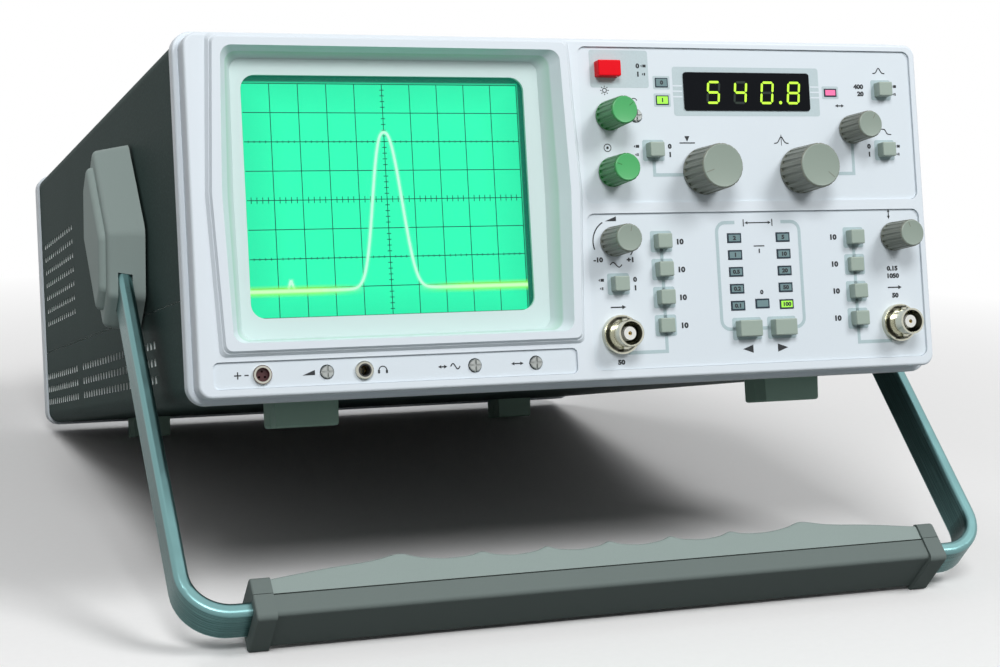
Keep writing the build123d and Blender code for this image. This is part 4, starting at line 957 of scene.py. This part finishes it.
# %% Seven-segment digits
DIGIT_H, DIGIT_W, BAR, SLANT = 7.6, 4.5, 0.85, 0.10
SEGMENTS = {"a": (0, 1, 1, 1), "b": (1, 0.5, 1, 1), "c": (1, 0, 1, 0.5), "d": (0, 0, 1, 0),
            "e": (0, 0, 0, 0.5), "f": (0, 0.5, 0, 1), "g": (0, 0.5, 1, 0.5)}
LIT = {"5": "afgcd", "4": "fgbc", "0": "abcdef", "8": "abcdefg"}
DISPLAY_Y = window_low.y - PROUD
digits_lit = Print("display_digits_lit", "digit_lit", DISPLAY_Y - PROUD)
digits_dark = Print("display_digits_unlit", "digit_dark", DISPLAY_Y)


def segment_shape(start, end):
    """A bar with pointed ends that stops just short of its neighbours."""
    length = math.hypot(end[0] - start[0], end[1] - start[1])
    dx, dz = direction(start, end)
    gap, half = 0.16, BAR / 2
    near, far = gap + half, length - gap - half
    outline = ((gap, 0), (near, half), (far, half), (length - gap, 0), (far, -half), (near, -half))
    return [(start[0] + dx * along - dz * side, start[1] + dz * along + dx * side)
            for along, side in outline]


def digit(character, x, z):
    """Draw one digit centred on a place, lit bars in one print and the rest in the other."""
    def corner(across, up):
        return x + (across - 0.5) * DIGIT_W + (up - 0.5) * DIGIT_H * SLANT, z + (up - 0.5) * DIGIT_H

    for segment, (xa, za, xb, zb) in SEGMENTS.items():
        target = digits_lit if segment in LIT[character] else digits_dark
        target.polygon(segment_shape(corner(xa, za), corner(xb, zb)))


FIRST, PITCH = 0.229 * display_w, 0.213 * display_w
DROP, POINT_AFTER, POINT_R = 0.4, 2.52, 0.62
first_digit, digit_z = window_low.x + FIRST, display_mid[1] - DROP
for k, character in enumerate("5408"):
    digit(character, first_digit + k * PITCH, digit_z)
digits_lit.disc(first_digit + POINT_AFTER * PITCH - 0.3, digit_z - DIGIT_H / 2 + 0.2, POINT_R, 24)
digits_lit.done()
digits_dark.done()

# %% [markdown]
# ## Turned details on the knobs
# A pressed disc with a turned edge closes the front of each knob. It is paler than the fluted body,
# partly as painted light on the front that faces the lamps. It is a lathe shape: a short profile
# spun round the knob's axis. A fine line shows where it points.

# %% Lathe helper
def lathe(name, centre, front, profile, finish, body="instrument", steps=28):
    """Spin a profile of (radius, depth behind the front) round an axis that points into the panel."""
    shapes = bmesh.new()
    rings = []
    for radius, depth in profile:
        ring = arc_points(*centre, radius, steps=steps)[:-1] if radius else [centre]
        rings.append([shapes.verts.new(at(x, front + depth, z)) for x, z in ring])
    for near, far in zip(rings, rings[1:]):
        for i in range(steps):
            j = (i + 1) % steps
            corners = [near[i % len(near)], near[j % len(near)], far[j % len(far)], far[i % len(far)]]
            unique = list(dict.fromkeys(corners))
            if len(unique) > 2:
                shapes.faces.new(unique)
    bmesh.ops.recalc_face_normals(shapes, faces=shapes.faces)
    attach(as_object(name, shapes, finish, 35), body)

# %% Knob discs and pointer lines
POINTERS = {"intensity": 38, "focus": 160, "level": 75, "y_position": 110, "fine_tuning": 60,
            "marker": 200, "center_frequency": 320}
LARGE_KNOB = 14
for name, tint in knob_tints.items():
    node = name + "_knob"
    low, high = level_box(node)
    width = high.x - low.x
    r = width / 2 - (0.75 if width < LARGE_KNOB else 0.9)
    profile = [(0, -0.16), (r - 0.5, -0.16), (r - 0.2, -0.22), (r, -0.12), (r + 0.06, 0.1), (0, 0.1)]
    lathe(node + "_disc", places[node], low.y, profile, tint + "_disc", node + "_body", 48)
    pointer = Print(node + "_pointer", tint + "_moulding", low.y - 0.20, node + "_body")
    pointer.line([arc_points(*places[node], r * reach, POINTERS[name])[0] for reach in (0.5, 0.93)], 0.3)
    pointer.done()

# %% [markdown]
# ## Connector details
# The bayonet connectors are nickel, with a white insulator and a gilt contact inside. They are
# solids of one CAD node, so a lathe shape a hair's breadth in front of each gives it its own
# finish. The nickel darkens in rings, measured from the middle of each connector: a painted dark
# reflection in the dished collar and painted shade down the barrel.

# %% Connector insulators and contacts
connector_front = level_box("signal_connectors")[0].y
INSULATOR = [(0.72, 0.2), (0.72, 0.0), (2.3, 0.0), (2.52, 0.2), (2.52, 6.0)]
CONTACT = [(0.42, 0.6), (0.42, 0.0), (0.60, 0.0), (0.70, 0.15), (0.70, 3.0)]
INSULATOR_Y, CONTACT_Y = connector_front + 1.55, connector_front + 1.93
for name in ("output_connector", "input_connector"):
    lathe(name + "_insulator", places[name], INSULATOR_Y, INSULATOR, "white_insulator", steps=36)
    lathe(name + "_contact", places[name], CONTACT_Y, CONTACT, "gilt", steps=24)
print("connector fronts at", round(connector_front, 2))

# %% Nickel with darker rings: a painted dark reflection in the dished collar and painted shade down the deep barrel
turned = Finish("turned_nickel", Metallic=1.0)
reaches = []
for x, z in connectors:
    across, up = turned.along(RIGHT, at(x, 0, z)), turned.along(UP, at(x, 0, z))
    reaches.append((across ** 2 + up ** 2) ** 0.5)
reach = reaches[0].at_most(reaches[1]) / 10
# Painted shade down the barrel and a painted dark reflection in the dished collar.
rings = turned.ramp(reach, (0.38, 1.0), (0.42, 0.0), (0.52, 0.0), (0.56, 0.9), (0.62, 0.9), (0.66, 0.0))
fine = turned.noise(0.4, 3.0)
turned.feed(Base_Color=turned.mix(rings, (0.56, 0.56, 0.47), (0.045, 0.045, 0.03)),
            Roughness=0.14 + fine * 0.1, Normal=turned.bump(fine, 0.003))
dress("turned_nickel", "signal_connectors")
print("connector details at", connectors, "and still to dress:", sorted(set(nodes) - dressed))

# %% [markdown]
# ## Blocks and rings for the sockets
# The probe socket is a maroon insert in a nickel ring, the phone jack a bright nut round a dark
# bore, and the power inlet has three plated pins. Each is a small lathe shape or block that sits a
# hair outside its CAD solid.

# %% Socket rings and inlet pins
def block(name, low, high, finish):
    """A plain block between two corners in level millimetres."""
    shapes = bmesh.new()
    bmesh.ops.create_cube(shapes, size=1.0)
    for vertex in shapes.verts:
        share = [component + 0.5 for component in vertex.co]
        vertex.co = at(*[a + (b - a) * t for a, b, t in zip(low, high, share)])
    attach(as_object(name, shapes, finish), "instrument")


low, high = level_box("probe_power_socket")
r = (high.x - low.x) / 2
ring = [(r - 0.9, 0.4), (r - 0.85, -0.04), (r - 0.2, -0.04), (r + 0.05, 0.3), (r + 0.05, FOIL - 0.02 - low.y)]
lathe("probe_socket_ring", places["probe_power_socket"], low.y, ring, "nickel", steps=40)
jack_front = level_box("phone_jack")[0].y
BORE = [(2.35, 0.2), (2.3, -0.03), (1.78, -0.03), (1.74, 0.4), (1.74, 9.0)]
SPRING = [(1.70, 4.0), (1.45, 5.0), (1.70, 6.0)]
lathe("phone_jack_bore", places["phone_jack"], jack_front, BORE, "black_moulding")
lathe("phone_jack_spring", places["phone_jack"], jack_front, SPRING, "gilt")
PIN_SIZE = 5
inlet = solid_boxes("mains_inlet")
pins = [(low, high) for low, high in inlet if max(high.x - low.x, high.z - low.z) < PIN_SIZE]
SKIN_OVER = Vector((PROUD, PROUD, PROUD))
for k, (low, high) in enumerate(pins):
    block(f"inlet_pin_{k}", low - SKIN_OVER, high + SKIN_OVER, "nickel")
print("inlet pins:", len(pins))

# %% [markdown]
# ## Floor and surroundings
# The floor is a plain pale sheet that takes the soft shadow and fades to white far away, so no
# horizon shows. The world is white where the camera or a reflection looks at it, and a softer
# white as light. The floor bounces back less light than it shows, so undersides stay dark.

# %% Floor
def seen_directly(tree):
    """1 for rays from the camera or from shiny and clear surfaces, 0 for light rays."""
    camera, glossy, clear = [make_node(tree, "LightPath", output=f"Is {kind} Ray")
                             for kind in ("Camera", "Glossy", "Transmission")]
    return (camera + glossy + clear).clamped()


pale = Finish("pale_floor", Specular_IOR_Level=0.1)
grain, seen = pale.noise(3.0, 2.0), seen_directly(pale.tree)
tone = pale.mix(grain, (0.90, 0.90, 0.90), (0.93, 0.93, 0.93))
pale.feed(Base_Color=pale.mix(seen, (0.16, 0.17, 0.17), tone), Roughness=0.7 + grain * 0.1)
spot = pale.vector("LENGTH", pale.place(), output="Value")
far = pale.ramp(spot, (0.30, 0.0), (0.85, 1.0))
white = pale.make("Emission", {}, {"Color": (1, 1, 1, 1), "Strength": 1.0})
shader = Socket(pale.tree, pale.shader.outputs[0])
fade = pale.make("MixShader", {}, {0: far * seen, 1: shader, 2: white})
pale.tree.links.new(fade.socket, pale.tree.nodes["Material Output"].inputs[0])
FLOOR_R = 14.0
disc = bmesh.new()
bmesh.ops.create_circle(disc, cap_ends=True, radius=FLOOR_R, segments=64)
floor = as_object("floor", disc, "pale_floor")
floor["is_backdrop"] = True
print("floor", [round(side, 1) for side in floor.dimensions], "m")

# %% World
LIGHT_LEVEL = 0.21
world = bpy.data.worlds.new("studio")
bpy.context.scene.world = world
world.use_nodes = True
sky = world.node_tree.nodes["Background"].inputs
sky["Color"].default_value = (1, 1, 1, 1)
strength = seen_directly(world.node_tree) * (1 - LIGHT_LEVEL) + LIGHT_LEVEL
world.node_tree.links.new(strength.socket, sky["Strength"])
print("world light level", LIGHT_LEVEL)

# %% [markdown]
# ## Studio lights
# A broad soft box up to the right of the camera lights the panel, so the knobs cast short soft
# shadows. A second one, in front and high up, fills those shadows and leaves the sides dark. One
# behind draws a bright edge along the handle and the case.

# %% Area lights
MIDDLE = Vector((0.0, 0.0, 0.15))
SOFT_BOXES = {  # place in metres, power in watts, width in metres
    "key_light": ((0.9, -1.3, 1.5), 21.0, 0.7),
    "front_light": ((-0.45, -1.55, 1.4), 20.0, 0.6),
    "back_light": ((-0.5, 1.6, 1.5), 8.0, 0.6),
}
for name, (place, watts, width) in SOFT_BOXES.items():
    lamp = bpy.data.lights.new(name, "AREA")
    lamp.shape, lamp.size, lamp.energy = "SQUARE", width, watts
    stand = place_object(name, lamp)
    stand.location = place
    stand.rotation_mode = "QUATERNION"
    stand.rotation_quaternion = (MIDDLE - Vector(place)).to_track_quat("-Z", "Y")
print("lights:", *SOFT_BOXES)

# %% [markdown]
# ## Camera
# The camera stands in front and to the left, level with the case's lower edge, and looks up along
# the tilted panel, so the left side and the whole handle show.

# %% Camera
def level_direction(x, y, z):
    """A direction given along the panel's own three directions."""
    return (RIGHT * x + INTO * y + UP * z).normalized()


CAMERA_PLACE = (-270.66, -632.18, -11.68)
LOOK_ALONG, LOOK_RIGHT = (0.3501, 0.9357, 0.044), (0.936, -0.3476, -0.0548)
lens = bpy.data.cameras.new("camera")
lens.lens, lens.sensor_width = 70.0, 36.0
camera = place_object("camera", lens)
forward = level_direction(*LOOK_ALONG)
above = level_direction(*LOOK_RIGHT).cross(forward)
turned = Matrix((forward.cross(above), above, -forward)).transposed().to_4x4()
camera.matrix_world = Matrix.Translation(at(*CAMERA_PLACE)) @ turned
bpy.context.scene.camera = camera
bpy.context.scene.view_settings.view_transform = "Standard"
print("camera at", [round(v, 3) for v in camera.location])

# %% [markdown]
# ## Sizes and finish
# The finished object's box is set beside the bare frame's.

# %% Gather the sizes
new_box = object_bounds()
sizes = {"cad": [list(corner) for corner in cad_box], "shown": [list(corner) for corner in new_box]}
